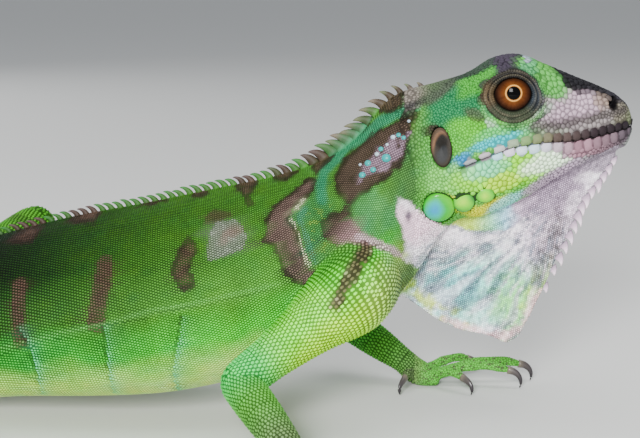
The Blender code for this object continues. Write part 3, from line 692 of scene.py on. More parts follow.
def sculpted(points, normals):
    """The skin's folds, lips, lids, nostrils, and the hollows for ear drums and shields."""
    out = np.zeros(len(points))
    head = points[:, 0] > 5.0
    flank = (points[:, 0] < -10) & (points[:, 0] > -115) & (np.abs(points[:, 1]) > 12)
    flank &= np.abs(points[:, 1]) < 31
    across, _ = from_line(points, FLANK_FOLD)
    strength = ramp(points[:, 0], -112, -95) * ramp(-points[:, 0], 14, 30)
    crease = -0.55 * hill(across, 0.7) + 0.35 * hill(across + 1.9, 1.4)
    out += np.where(flank, crease * strength, 0)
    for fold in BELLY_FOLDS:
        off, _ = from_line(points, fold)
        deep = -0.45 * hill(off, 0.55) + 0.25 * hill(off - 1.4, 1.1)
        out += np.where(flank, deep * ramp(-across, -0.5, 1.5), 0)
    lips, run = from_line(points, MOUTH_LINE)
    on_lip = head & (np.abs(points[:, 1]) > 0.0) & (np.abs(lips) < 4)
    groove = -0.75 * hill(lips, 0.32) + 0.22 * hill(lips - 1.2, 0.9)
    groove += 0.2 * hill(lips + 1.3, 1.0)
    out += np.where(on_lip, groove * ramp(run, 0.0, 3.0), 0)
    hole = from_nostril(points)
    near_nose = head & (np.abs(points[:, 1]) > 3.0)
    nose = -2.4 * ramp(-hole, -1.0, -0.45) + 0.45 * hill(hole - 1.5, 0.4)
    out += np.where(near_nose, nose, 0)
    points = points + normals * out[:, None]
    for side in (1, -1):
        points = with_ear_and_shield(with_lids(points, side), side)
    points[:, 2] = np.maximum(points[:, 2], FLOOR_CLEAR)
    return points


def with_lids(points, side):
    """The lids as a thick wrinkled rim round the eyeball, and the hollow that it sits in."""
    far, _, edge = lid_place(points, side)
    ball = EYE_PLACE[1] + np.sqrt(np.maximum(EYE_RADIUS**2 - edge**2, 0.1))
    t = np.clip(far, 0, None)
    rise = 1.15 * (1 - np.exp(-t / 0.55)) + 0.22 * t
    folds = np.cos(2 * math.pi * (t - 0.62) / 0.68) * ramp(t, 0.2, 0.7) * 0.10
    deep = hill(t - 1.56, 0.17) + 1.3 * hill(t - 3.02, 0.22)
    lid = ball + 0.45 + rise + folds * (1 - ramp(t, 3.4, 4.4)) - 0.30 * deep
    blend = 1 - ramp(far, 2.8, 4.8)
    target = np.where(far > 0, lid, ball + 0.45 - 5.0 * ramp(-far, 0.0, 0.8))
    near = far < 4.8
    points[near, 1] += side * ((target - points[:, 1] * side) * blend)[near]
    return points


def with_ear_and_shield(points, side):
    """The hollow of an ear with a low rim round it, and the one that the big round plate sits in."""
    ear = from_ear(points)
    outer = points[:, 1] * side > 9.0
    points[:, 1] -= side * np.where(outer, 1.9 * ramp(-ear, -1.12, -0.98), 0)
    points[:, 1] += side * np.where(outer, 0.35 * hill(ear - 1.3, 0.16), 0)
    shield = np.hypot(points[:, 0] - SHIELD_PLACE[0], points[:, 2] - SHIELD_PLACE[2]) / SHIELD_RADIUS
    points[:, 1] -= side * np.where(outer, 1.3 * ramp(-shield, -1.16, -1.0), 0)
    return points


def fine_places(points):
    """Parts of the head whose skin is divided once more: lids, lips, nostrils, ears, shields."""
    lips, run = from_line(points, MOUTH_LINE)
    wanted = (np.abs(lips) < 1.6) & (points[:, 0] > 23) & (run > 0.1)
    wanted |= from_lids(points) < 5.0
    ear = np.hypot((points[:, 0] - EAR_PLACE[0]) / 4.2, (points[:, 2] - EAR_PLACE[2]) / 6.4)
    shield = np.hypot(points[:, 0] - SHIELD_PLACE[0], points[:, 2] - SHIELD_PLACE[2]) / 5.6
    nose = np.hypot(points[:, 0] - NOSTRIL[0], points[:, 2] - NOSTRIL[1]) / 3.0
    wanted |= (np.minimum(np.minimum(ear, shield), nose) < 1) & (np.abs(points[:, 1]) > 3)
    return wanted


def divided(points, faces, wanted):
    """The mesh with the faces among the wanted points cut in four."""
    mesh = bmesh.new()
    made = [mesh.verts.new(p) for p in points]
    for face in faces:
        try:
            mesh.faces.new([made[i] for i in face])
        except ValueError:
            continue
    mesh.verts.index_update()
    edges = [e for e in mesh.edges if wanted[e.verts[0].index] and wanted[e.verts[1].index]]
    bmesh.ops.subdivide_edges(mesh, edges=edges, cuts=1, use_grid_fill=True)
    bmesh.ops.triangulate(mesh, faces=mesh.faces)
    mesh.verts.index_update()
    new_points = np.array([v.co[:] for v in mesh.verts])
    new_faces = np.array([[v.index for v in f.verts] for f in mesh.faces])
    mesh.free()
    return new_points, new_faces


def make_skin():
    """The skin's points and triangles: the lofts made one, smoothed, thinned and sculpted."""
    lofts = helper("lofts", *joined([body_loft(), dewlap_loft()] + limb_lofts()))
    grain = lofts.modifiers.new("one skin", "REMESH")
    grain.mode = "VOXEL"
    grain.voxel_size = VOXEL
    points, faces = mesh_arrays(lofts)
    drop(lofts)
    points = relaxed(points, faces, 3)
    points = relaxed(points, faces, 30, soft_places(points))
    rough = helper("thinned", points.tolist(), faces.tolist())
    keep = ramp(points[:, 0], 0.0, 14.0)
    group = rough.vertex_groups.new(name="thin")
    for level in range(5):
        members = np.where(np.round((1 - keep) * 4).astype(int) == level)[0]
        group.add(members.tolist(), level / 4, "REPLACE")
    thin = rough.modifiers.new("thin", "DECIMATE")
    thin.ratio = SKIN_SHARE
    thin.vertex_group = "thin"
    points, faces = mesh_arrays(rough)
    drop(rough)
    points, faces = divided(points, faces, fine_places(points))
    points = relaxed(points, faces, 1)
    return sculpted(points, point_normals(points, faces)), faces


# ---------------------------------------------------------------- where scales grow
class Surface:
    """The finished skin, for laying things on it."""

    def __init__(self, points, faces):
        self.points = points
        self.faces = faces
        self.normals = point_normals(points, faces)
        self.tree = BVHTree.FromPolygons([Vector(p) for p in points], faces.tolist())

    def nearest(self, places):
        """The closest places on the skin, the normals there and how far they are."""
        spots = np.empty((len(places), 3))
        gone = np.empty(len(places))
        index = np.empty(len(places), int)
        for i, place in enumerate(places):
            spots[i], _, index[i], gone[i] = self.tree.find_nearest(Vector(place))
        return spots, self.normal_at(spots, index), gone

    def hit(self, starts, ways):
        """Where rays meet the skin, the normals there, and which of them met it."""
        spots = np.zeros((len(starts), 3))
        index = np.zeros(len(starts), int)
        met = np.zeros(len(starts), bool)
        for i, (start, way) in enumerate(zip(starts, ways)):
            found, _, face, _ = self.tree.ray_cast(Vector(start), Vector(way))
            if found is not None:
                spots[i], index[i], met[i] = found, face, True
        return spots, self.normal_at(spots, index), met

    def normal_at(self, spots, index):
        """Normals blended between a face's corners by closeness to each."""
        corners = self.faces[index]
        gone = [np.linalg.norm(spots - self.points[corners[:, i]], axis=1) for i in range(3)]
        weights = [1 / (distance + 0.05) for distance in gone]
        total = sum(self.normals[corners[:, i]] * weights[i][:, None] for i in range(3))
        return total / np.maximum(np.linalg.norm(total, axis=1), 1e-9)[:, None]

    def sampled(self, wanted, density, draw):
        """Random places on the faces whose corners are all wanted, this many to a square mm."""
        faces = self.faces[wanted[self.faces].all(axis=1)]
        a, b, c = (self.points[faces[:, i]] for i in range(3))
        sizes = np.linalg.norm(np.cross(b - a, c - a), axis=1) / 2
        count = int(sizes.sum() * density)
        some = np.searchsorted(np.cumsum(sizes), draw.random(count) * sizes.sum())
        some = np.minimum(some, len(faces) - 1)
        s, t = draw.random((2, count))
        flip = s + t > 1
        s, t = np.where(flip, 1 - s, s)[:, None], np.where(flip, 1 - t, t)[:, None]
        return a[some] + (b - a)[some] * s + (c - a)[some] * t


def seed_set(part, place, way, pitch, run, turn, kind="keel"):
    """Seeds of scales: place, way they point, pitch, and where they are along and round a part."""
    count = len(place)
    return {
        "place": np.asarray(place, float), "way": np.asarray(way, float),
        "pitch": np.broadcast_to(np.asarray(pitch, float), count).copy(),
        "run": np.broadcast_to(np.asarray(run, float), count).copy(),
        "turn": np.broadcast_to(np.asarray(turn, float), count).copy(),
        "part": np.full(count, part, dtype="U24"), "kind": np.full(count, kind, dtype="U8"),
    }


def stacked(sets):
    """Several sets of seeds as one."""
    return {key: np.concatenate([s[key] for s in sets]) for key in sets[0]}


def chosen(seeds, keep):
    """Those of the seeds that are kept, or that an index names."""
    return {key: value[keep] for key, value in seeds.items()}


# Pitches of the body's scales: distance from the snout, along the body, round its upper side.
BODY_PITCHES = (
    (along_at(14.0), 0.56, 0.60), (along_at(-8.0), 0.60, 0.66), (along_at(-60.0), 0.68, 0.74),
    (VENT, 0.90, 0.90), (VENT + 60, 1.45, 1.2), (VENT + 300, 1.3, 1.0), (ALONG[-1], 0.9, 0.6),
)


def body_pitch(at):
    """Pitch of the scales along the body and round its upper side."""
    places, along, around = zip(*BODY_PITCHES)
    return float(np.interp(at, places, along)), float(np.interp(at, places, around))


def ring_angles(at, odd):
    """Angles of the scales in one ring, counted down from the crest, wider on the belly."""
    fine = np.linspace(-math.pi / 2, 1.5 * math.pi, 289)
    ring = body_points(np.full(len(fine), at), fine, -COAT)
    step = np.linalg.norm(np.diff(ring, axis=0), axis=1)
    middle = (fine[:-1] + fine[1:]) / 2
    below = ramp(-np.sin(middle), 0.35, 0.85) * float(ramp(np.array(-at), -VENT - 40, -VENT))
    local = body_pitch(at)[1] * (1 + 0.6 * below)
    counted = np.concatenate([[0.0], np.cumsum(step / local)])
    top = np.interp(math.pi / 2, fine, counted)
    first = (top + (0.5 if odd else 0.0)) % 1.0
    return np.interp(np.arange(first + 0.25, counted[-1] - 0.2), counted, fine)


def body_seeds(start, end):
    """Scales in rings round the body."""
    sets = []
    at, odd = start, False
    while at < end:
        pitch, around = body_pitch(at)
        angles = ring_angles(at, odd)
        here = body_points(np.full(len(angles), at), angles, -COAT)
        ahead = body_points(np.full(len(angles), at + 0.6), angles, -COAT)
        part = "body" if at < VENT else "tail"
        sets.append(seed_set(part, here, ahead - here, (pitch + around) / 2, at, angles))
        at += pitch
        odd = not odd
    return stacked(sets)


def tube_seeds(part, path, sizes, pitch, start=0.0):
    """Scales in rings round a limb or a digit."""
    keys = run_along(path)
    sets = []
    at, odd = 0.4, False
    while at < keys[-1]:
        row = smooth_rows(keys, np.hstack([path, sizes]), at)[0]
        ahead = smooth_rows(keys, path, min(at + 0.5, keys[-1]))[0]
        behind = smooth_rows(keys, path, max(at - 0.5, 0))[0]
        way = (ahead - behind) / np.linalg.norm(ahead - behind)
        side = np.cross((0, 0, 1.0), way)
        side /= max(np.linalg.norm(side), 1e-6)
        top = np.cross(way, side)
        wide, high = row[3] - COAT, row[4] - COAT
        around = math.pi * (3 * (wide + high) - math.sqrt((3 * wide + high) * (wide + 3 * high)))
        count = max(6, round(around / pitch))
        angles = (np.arange(count) + (0.5 if odd else 0.0)) * 2 * math.pi / count
        ring = row[:3] + np.outer(np.cos(angles) * wide, side) + np.outer(np.sin(angles) * high, top)
        sets.append(seed_set(part, ring, np.tile(way, (count, 1)), pitch, start + at, angles))
        at += pitch * 0.86
        odd = not odd
    return stacked(sets)


def leg_seeds(kind, name, leg, lines, palm, digits):
    """Scales down a whole leg. Run is the distance from its root."""
    part = f"{LIMB_OF[kind]}_{name}"
    sets = []
    start = 0.0
    for line, pitch in zip(lines, (LEG_PITCH, LEG_PITCH * 0.95)):
        path, sizes = limb_line(line, leg["side"], 40)
        sets.append(tube_seeds(part, path, sizes, pitch, start))
        start += float(np.linalg.norm(np.diff(path, axis=0), axis=1).sum())
    path, sizes = smooth_line(np.array(palm), np.array(PALM_SIZES[kind]), 16)
    sets.append(tube_seeds(part, path, sizes, PALM_PITCH, start))
    for digit, _ in digits:
        path, sizes = smooth_line(np.array(digit), digit_sizes(kind), 24)
        sets.append(tube_seeds(part, path, sizes * knuckles(24)[:, None], DIGIT_PITCH, start + 10))
    return stacked(sets)


def throat_height(x):
    """Height at which the dewlap leaves the throat."""
    top = np.array(DEWLAP_TOP)
    return np.interp(x, top[:, 0], top[:, 1])


def on_dewlap(points, slack=0.0):
    """Whether places are on the dewlap rather than on the head, neck or chest."""
    below = points[:, 2] < throat_height(points[:, 0]) - 1.2 + slack
    return below & (np.abs(points[:, 1]) < DEWLAP_ROOT_HALF + 1.4) & (points[:, 0] > 8.5)


DEWLAP_ROW_SLANT = -38.0         # degrees
DEWLAP_MIDDLE = (36, 44)
DEWLAP_REACH = np.arange(-110, 110)    # of the rows of scales from the middle


def dewlap_seeds(surface):
    """Scales in slanting rows on both faces of the dewlap."""
    slant = math.radians(DEWLAP_ROW_SLANT)
    rows, columns = np.meshgrid(DEWLAP_REACH, DEWLAP_REACH, indexing="ij")
    run = (columns + 0.5 * (rows % 2)) * DEWLAP_PITCH
    rise = rows * DEWLAP_PITCH * 0.85
    x = DEWLAP_MIDDLE[0] + run * math.cos(slant) - rise * math.sin(slant)
    z = DEWLAP_MIDDLE[1] + run * math.sin(slant) + rise * math.cos(slant)
    flat = np.stack([x.ravel(), z.ravel()], axis=1)
    flat = flat[(flat[:, 0] > 8) & (flat[:, 0] < 68) & (flat[:, 1] > 19) & (flat[:, 1] < 76)]
    sets = []
    for side in (-1, 1):
        spots = from_the_side(surface, flat[:, 0], flat[:, 1], side)
        spots = spots[on_dewlap(spots)]
        way = np.tile((-0.62, 0.0, -0.79), (len(spots), 1))
        sets.append(seed_set("dewlap", spots, way, DEWLAP_PITCH, spots[:, 0], spots[:, 2] * side))
    return stacked(sets)


# ---------------------------------------------------------------- scales of the head
TEMPLE_PITCH = (24, 84, 9, 9, 0.68)
# Ovals seen from the side where the head's scales have their own size: x, z, half width, half height, pitch.
HEAD_PITCHES = (
    (36, 97, 12, 3.0, 1.6), (50, 92, 9, 3.4, 1.7), (60, 88.6, 9, 2.6, 1.5), (52.5, 84.6, 8.5, 4.2, 1.3),
    (55, 80.3, 13, 1.7, 1.15), (36, 78.6, 9, 2.4, 0.9), (45, 70.2, 17, 3.8, 1.2), (33, 66.5, 9, 4.0, 1.5),
    (22, 66.5, 5, 3.5, 1.0), (15, 70, 5.5, 14, 0.75), (13, 90, 8, 6.5, 0.72),
)
CHEEK_PITCH = 0.70
LID_PITCH = 0.85
CROWN_HEIGHT, CROWN_PITCH = 92.5, 1.25


def nearer_pitch(p, size, x, z, wide, high, value):
    """Sizes of scales moved to this value inside an oval."""
    gone = np.hypot((p[:, 0] - x) / wide, (p[:, 2] - z) / high)
    return size + (value - size) * (1 - ramp(gone, 0.75, 1.25))


def head_pitch(points):
    """Size of the head's scales from place to place."""
    p = folded_side(points)
    size = nearer_pitch(p, np.full(len(p), CHEEK_PITCH), *TEMPLE_PITCH)
    size = np.where(p[:, 2] > CROWN_HEIGHT, np.maximum(size, CROWN_PITCH), size)
    for row in HEAD_PITCHES:
        size = nearer_pitch(p, size, *row)
    return np.where(from_lids(points) < 5.0, LID_PITCH, size)


def inside_shapes(points):
    """Where the head has no scales: lids' inner rims, eyes, ear drums, jowl plates and nostrils."""
    p = folded_side(points)
    out = (from_lids(points) < 0.9) | ((from_ear(p) < 1.1) & (p[:, 1] > 9))
    for x, z, wide, high, *_ in JOWL_PLATES:
        out |= (np.hypot((p[:, 0] - x) / (wide + 0.12), (p[:, 2] - z) / (high + 0.12)) < 1) & (p[:, 1] > 8)
    return out | ((from_nostril(p) < 1.15) & (p[:, 1] > 3))


# The round plates under the ear: x, z, half width, half height, height of the dome, how far out it
# stands and how far it leans forward.
JOWL_PLATES = (
    (SHIELD_PLACE[0], SHIELD_PLACE[2], SHIELD_RADIUS, SHIELD_RADIUS, 1.25, 0.5, 0.10),
    (25.7, 60.7, 2.85, 2.9, 0.9, 1.25, 0.16),
    (31.0, 62.4, 2.6, 2.0, 0.6, 1.0, 0.16),
)


def from_the_side(surface, x, z, side):
    """Where lines across the animal at these x and z first meet its skin."""
    starts = np.stack([x, np.full(len(x), side * 30.0), z], axis=1)
    spots, _, met = surface.hit(starts, np.tile((0, -side, 0), (len(x), 1)))
    return spots[met]


# Half heights of the lips' plates above and below the mouth's line, by distance from its corner.
UPPER_HALF = ((2, 0.62), (10, 0.75), (15, 1.05), (20, 1.30), (40, 1.25), (46, 0.90))
LOWER_HALF = ((3, 0.70), (12, 0.90), (18, 1.20), (26, 1.35), (32, 1.95), (40, 1.85), (46, 1.00))
LIP_PITCH = 2.8
LIP_HEIGHT = 0.13
UPPER_LENGTH = ((8, 4.0), (22, 2.6), (45, 2.0))
LOWER_LENGTH = ((8, 3.2), (20, 3.2), (30, 2.6), (45, 2.0))


def along_lip(run, table):
    """A size of the lips' plates at these distances from the mouth's corner."""
    return np.interp(run, [row[0] for row in table], [row[1] for row in table])


def lip_seeds(surface):
    """The long plates along both lips."""
    line = MOUTH_LINE
    steps = run_along(line)
    sets = []
    for up, half, lengths, first in ((1, UPPER_HALF, UPPER_LENGTH, 1.8), (-1, LOWER_HALF, LOWER_LENGTH, 3.2)):
        runs = []
        at = first
        while at < steps[-1] - 0.5:
            length = float(along_lip(at, lengths))
            runs.append(at + length / 2)
            at += length
        runs = np.array(runs)
        x, z = np.interp(runs, steps, line[:, 0]), np.interp(runs, steps, line[:, 1])
        for side in (-1, 1):
            spots = from_the_side(surface, x, z + up * along_lip(runs, half), side)
            way = np.tile((-0.97, 0, -0.2), (len(spots), 1))
            sets.append(seed_set("head", spots, way, LIP_PITCH, spots[:, 0], spots[:, 2] * side, "plate"))
    return stacked(sets)


# Rings of beads on the lids: distance out from the lids' edge and pitch.
LID_ROWS = ((0.62, 0.52), (1.22, 0.60), (1.90, 0.66), (2.62, 0.72), (3.40, 0.80))


def lip_radii(places, corners):
    """How far each plate of the lips reaches in each direction: long and low, with square ends."""
    off, run = from_line(places, MOUTH_LINE)
    upper = off > 0
    half = np.where(upper, along_lip(run, UPPER_HALF), along_lip(run, LOWER_HALF))
    length = np.where(upper, along_lip(run, UPPER_LENGTH), along_lip(run, LOWER_LENGTH)) / 2
    angles = np.arange(corners) * 2 * math.pi / corners
    run_part = np.abs(np.cos(angles))[None] / length[:, None]
    off_part = np.abs(np.sin(angles))[None] / half[:, None]
    return (run_part**3.5 + off_part**3.5) ** (-1 / 3.5)


def lid_seeds(surface):
    """Small beads in rings round the eyes."""
    sets = []
    for side in (-1, 1):
        for i, (far, pitch) in enumerate(LID_ROWS):
            count = int(math.pi * (sum(LID_OPENING) + 2 * far) / pitch)
            turn = (np.arange(count) + 0.5 * (i % 2)) * 2 * math.pi / count
            out = far / lid_squeeze(turn)
            x = EYE_PLACE[0] + (LID_OPENING[0] + out) * np.cos(turn)
            z = EYE_PLACE[2] + (LID_OPENING[1] + out) * np.sin(turn)
            spots = from_the_side(surface, x, z, side)
            spots = spots[np.abs(lid_place(spots, side)[0] - far) < 0.4]
            way = np.tile((-0.95, 0, -0.3), (len(spots), 1))
            sets.append(seed_set("head", spots, way, pitch * 1.05, spots[:, 0], spots[:, 2] * side, "bead"))
    return stacked(sets)


def mouth_closed(points, owners):
    """Corners of the head's scales kept on their own side of the mouth's line."""
    off, run = from_line(points, MOUTH_LINE)
    own, _ = from_line(owners, MOUTH_LINE)
    near = (np.abs(own) < 2.0) & (owners[:, 0] > 23.0) & (run > 0.5)
    side = np.sign(own)
    short = off * side < 0.5
    push = np.where(near & short, side * 0.10 - off, 0)
    points[:, 2] += push
    return points


def spread_seeds(candidates, pitches, draw):
    """Places picked from the candidates so that none is nearer than about its pitch to another."""
    tree = kd_tree(candidates)
    free = np.ones(len(candidates), bool)
    picked = []
    for i in draw.permutation(len(candidates)):
        if free[i]:
            picked.append(i)
            for _, j, _ in tree.find_range(Vector(candidates[i]), pitches[i] * 0.78):
                free[j] = False
    return np.array(picked, int)


def kd_tree(points):
    tree = KDTree(len(points))
    for i, place in enumerate(points):
        tree.insert(Vector(place), i)
    tree.balance()
    return tree


def nearest_index(tree, points):
    return np.array([tree.find(Vector(p))[1] for p in points])


def evened(places, fixed, candidates, weight, times=3):
    """Places moved to the middle of the candidates that are nearest to them."""
    for _ in range(times):
        owner = nearest_index(kd_tree(np.concatenate([places, fixed])), candidates)
        total = np.bincount(owner, weight, len(places) + len(fixed))[: len(places)]
        for axis in range(3):
            mean = np.bincount(owner, weight * candidates[:, axis], len(places) + len(fixed))
            mean = mean[: len(places)] / np.maximum(total, 1e-9)
            places[:, axis] = np.where(total > 0, mean, places[:, axis])
    return places


def head_seeds(surface, draw):
    """Scales of the head: plates of the lips and rings of the lids, then the rest by their size."""
    rows = stacked([lip_seeds(surface), lid_seeds(surface)])
    points = surface.points
    wanted = (points[:, 0] > 13.0) & ~on_dewlap(points, 0.6)
    candidates = surface.sampled(wanted, 9.0, draw)
    off, run = from_line(candidates, MOUTH_LINE)
    side = np.abs(candidates[:, 1]) > 0.5
    near_lip = (off < 2 * along_lip(run, UPPER_HALF) - 0.1) & (off > 0.1 - 2 * along_lip(run, LOWER_HALF))
    near_lip &= (run > 0.9) & side & (candidates[:, 0] > 22)
    candidates = candidates[~near_lip & (from_lids(candidates) > 3.75) & ~inside_shapes(candidates)]
    pitches = head_pitch(candidates)
    picked = spread_seeds(candidates, pitches, draw)
    places = evened(candidates[picked].copy(), rows["place"], candidates, 1 / pitches**2)
    places = surface.nearest(places)[0]
    pitch = head_pitch(places)
    way = np.tile((-0.95, 0, -0.3), (len(places), 1))
    found = seed_set("head", places, way, pitch, places[:, 0], places[:, 2] * np.sign(places[:, 1] + 1e-6))
    found["kind"] = np.where(pitch > 1.3, "plate", "bead").astype("U8")
    return stacked([rows, found])


def settled(surface, seeds, limit):
    """Seeds moved to the skin, without those that were far from it."""
    places, _, gone = surface.nearest(seeds["place"])
    keep = gone < limit
    seeds = chosen(seeds, keep)
    seeds["place"] = places[keep]
    return seeds


def thinned(seeds, share=0.62):
    """Seeds without those too near to an earlier one."""
    tree = kd_tree(seeds["place"])
    keep = np.ones(len(seeds["place"]), bool)
    for i, (place, pitch) in enumerate(zip(seeds["place"], seeds["pitch"])):
        if keep[i]:
            for _, j, _ in tree.find_range(Vector(place), pitch * share):
                if j > i:
                    keep[j] = False
    return chosen(seeds, keep)


def filled(surface, seeds, draw):
    """Seeds with more where the skin would be bare, such as where a leg leaves the body."""
    points = surface.points
    bare = ~inside_shapes(points) & (from_lids(points) > 6)
    lips, run = from_line(points, MOUTH_LINE)
    bare &= ~((np.abs(lips) < 2.2) & (points[:, 0] > 22) & (run > 0.5))
    candidates = surface.sampled(bare, 3.0, draw)
    tree = kd_tree(seeds["place"])
    found = [tree.find(Vector(p)) for p in candidates]
    owner = np.array([f[1] for f in found])
    gone = np.array([f[2] for f in found])
    pitch = seeds["pitch"][owner]
    open_places = gone > pitch * 0.95
    candidates, owner = candidates[open_places], owner[open_places]
    picked = spread_seeds(candidates, pitch[open_places] * 1.15, draw)
    extra = chosen(seeds, owner[picked])
    extra["place"] = candidates[picked]
    return stacked([seeds, extra])


# ---------------------------------------------------------------- shapes of the scales
CORNERS = {"keel": 6, "bead": 8, "plate": 12}
NEIGHBOURS = 13
HIGHEST_SCALE = 0.30


def frames(normals, ways):
    """For each scale: the way it points, laid on the skin, its left, and its normal."""
    ahead = ways - normals * (ways * normals).sum(axis=1)[:, None]
    short = np.linalg.norm(ahead, axis=1) < 1e-4
    ahead[short] = np.cross(normals[short], (0.0, 1.0, 0.01))
    ahead /= np.linalg.norm(ahead, axis=1)[:, None]
    return ahead, np.cross(normals, ahead), normals


def cell_radii(places, ahead, left, roots, tree, corners, limit):
    """How far each scale reaches in each direction before it meets a neighbour's root."""
    near = np.empty((len(places), NEIGHBOURS - 1), int)
    for i, place in enumerate(places):
        near[i] = [found[1] for found in tree.find_n(Vector(place), NEIGHBOURS)][1:]
    offsets = roots[near] - places[:, None]
    x = (offsets * ahead[:, None]).sum(axis=2)
    y = (offsets * left[:, None]).sum(axis=2)
    squared = np.maximum(x**2 + y**2, 1e-4)
    depth = np.abs((offsets * np.cross(ahead, left)[:, None]).sum(axis=2))
    behind = depth > 0.25 + 0.8 * np.sqrt(squared)
    angles = np.arange(corners) * 2 * math.pi / corners
    reach = x[:, :, None] * np.cos(angles) + y[:, :, None] * np.sin(angles)
    reach = np.where(behind[:, :, None], -1.0, reach)
    radii = np.where(reach > 1e-3, squared[:, :, None] / 2 / np.maximum(reach, 1e-3), 99.0).min(axis=1)
    return np.minimum(radii, limit[:, None])


ROOT_DEPTH = 0.10         # how far the rims of scales are sunk in the skin


def keel_mesh(places, ahead, up, high, rim, root_ring, rim_shades, peak_highlights):
    """Points, faces and painted light of keeled scales: a rim and a ridge from rear to front, the rim
    darkened as painted shade and the ridge lightened as a painted highlight.
    """
    back = places + ahead * (rim[:, 0] * 0.50)[:, None] + up * high[:, None]
    front = places - ahead * (rim[:, 3] * 0.35)[:, None] + up * (high * 0.62)[:, None]
    stack = np.concatenate([root_ring, back[:, None], front[:, None]], axis=1)
    faces = ((0, 1, 6), (1, 2, 7), (1, 7, 6), (2, 3, 7), (3, 4, 7), (4, 5, 7), (5, 6, 7), (5, 0, 6))
    return stack, faces, np.hstack([np.repeat(rim_shades, rim.shape[1], axis=1), peak_highlights, peak_highlights * 0.9])


def bead_mesh(places, up, high, root_ring, shoulder_ring, rim_shades, peak_highlights):
    """Points, faces and painted light of round scales: a rim, a shoulder and a top, the rim darkened as
    painted shade and the top lightened as a painted highlight.
    """
    count, corners = root_ring.shape[:2]
    top = places + up * high[:, None]
    stack = np.concatenate([root_ring, shoulder_ring, top[:, None]], axis=1)
    k = np.arange(corners)
    after = (k + 1) % corners
    low = np.stack([k, after, after + corners], axis=1)
    mid = np.stack([k, after + corners, k + corners], axis=1)
    cap = np.stack([k + corners, after + corners, np.full(corners, 2 * corners)], axis=1)
    painted_light = [np.repeat(0.55 + 0.45 * rim_shades, corners, axis=1), np.ones((count, corners)), peak_highlights]
    return stack, np.concatenate([low, mid, cap]), np.hstack(painted_light)


def scale_shapes(seeds, normals, radii, kind, style):
    """Points, faces, painted light and shade, and map offsets of all scales of one kind."""
    ahead, left, up = frames(normals, seeds["way"])
    corners = CORNERS[kind]
    angles = np.arange(corners) * 2 * math.pi / corners
    places, count = seeds["place"], len(seeds["place"])
    high = np.minimum(style["high"] * seeds["pitch"], HIGHEST_SCALE)
    high[seeds["pitch"] == LIP_PITCH] = LIP_HEIGHT
    rim = radii * (1 - style["gap"])
    # Painted shade on each scale's rim and a painted highlight on its peak, as brightness on its colour.
    rim_shades = (style["rim"] + (0.80 - style["rim"]) * faint_shade(seeds))[:, None]
    peak_highlights = np.full((count, 1), style["peak_highlight"])

    def ring(share, height):
        x, y = rim * share * np.cos(angles) * (1 - style["slit"]), rim * share * np.sin(angles)
        flat = ahead[:, None] * x[:, :, None] + left[:, None] * y[:, :, None]
        return places[:, None] + flat + up[:, None] * height[:, :, None]

    sunk = np.full((count, corners), -ROOT_DEPTH)
    if kind == "keel":
        sunk[:, 0] += style["lift"] * seeds["pitch"]
        stack, faces, painted_light = keel_mesh(places, ahead, up, high, rim, ring(1.0, sunk), rim_shades, peak_highlights)
    else:
        shoulder = np.repeat(high[:, None], corners, axis=1) * 0.72
        rings = ring(1.0, sunk), ring(0.74, shoulder)
        stack, faces, painted_light = bead_mesh(places, up, high, *rings, rim_shades, peak_highlights)
    size = stack.shape[1]
    local = stack - places[:, None]
    spread = np.stack([(local * ahead[:, None]).sum(axis=2), (local * left[:, None]).sum(axis=2)], axis=2)
    spread /= np.maximum(radii.max(axis=1), 1e-3)[:, None, None]
    all_faces = (np.asarray(faces)[None] + (np.arange(count) * size)[:, None, None]).reshape(-1, 3)
    return stack.reshape(-1, 3), all_faces, painted_light.ravel(), spread.reshape(-1, 2), size


# How the scales of each region look. Height and lift of the rear point are shares of the pitch, gap and
# slit of the reach. Rim, peak highlight and the skin between them are brightness: painted shade on the
# rims and on the skin in the gaps between the scales, and a painted highlight on each peak.
STYLE_KEYS = ("high", "gap", "slit", "lift", "rim", "peak_highlight", "skin")
STYLES = {name: dict(zip(STYLE_KEYS, values)) for name, values in (
    ("body", (0.22, 0.07, 0.0, 0.10, 0.42, 1.22, 0.20)),
    ("tail", (0.24, 0.07, 0.0, 0.14, 0.42, 1.22, 0.25)),
    ("leg", (0.26, 0.08, 0.0, 0.10, 0.58, 1.24, 0.24)),
    ("dewlap", (0.20, 0.08, 0.20, 0.0, 0.74, 1.30, 0.86)),
    ("head", (0.18, 0.05, 0.0, 0.0, 0.75, 1.14, 0.48)),
)}


def faint_shade(seeds):
    """How faint the painted shade on the scales' rims and in the gaps between them is: 0 on the flank,
    towards 1 on the neck.
    """
    low = 1 - ramp(body_rise(seeds["place"]), 0.08, 0.30)
    return np.maximum(ramp(seeds["place"][:, 0], -16, 4) * 0.38, low * 0.5) * (seeds["part"] == "body")


def style_of(part):
    return STYLES.get(part, STYLES["leg"])


# ---------------------------------------------------------------- colours
LUMA = np.array((0.2126, 0.7152, 0.0722))
PAINT_GAIN = 0.96         # how much paint it takes to show a colour in the studio's light


def paint(red, green, blue):
    """The paint, as linear light, that shows as this screen colour, 0 to 255, in the studio."""
    value = np.array((red, green, blue)) / 255
    linear = np.where(value <= 0.04045, value / 12.92, ((value + 0.055) / 1.055) ** 2.4)
    luma = linear @ LUMA
    strong = 1 + (linear / luma - 1) * (0.95 + 0.81 * luma)
    return np.clip(PAINT_GAIN * luma**1.15 * strong, 0.002, 0.92)


def mixed(a, b, share):
    return a + (b - a) * np.asarray(share)[:, None]


def flood(colour, points):
    """One colour for every point."""
    return np.broadcast_to(colour, points.shape)


def gradient(value, stops):
    """Colours read along a scale of stops, each a value and a colour."""
    at = [s[0] for s in stops]
    table = np.array([s[1] for s in stops])
    return np.stack([np.interp(value, at, table[:, i]) for i in range(3)], axis=1)


def stroke(points, line, half, ragged=0.5, soft=0.5):
    """1 on a band along a line seen from the side, with an uneven edge."""
    off, _ = from_line(points, np.array(line))
    uneven = noise(points, 2.4, 5) * ragged + noise(points, 1.0, 6) * ragged * 0.6
    return 1 - ramp(np.abs(off) + uneven, half - soft, half + soft)


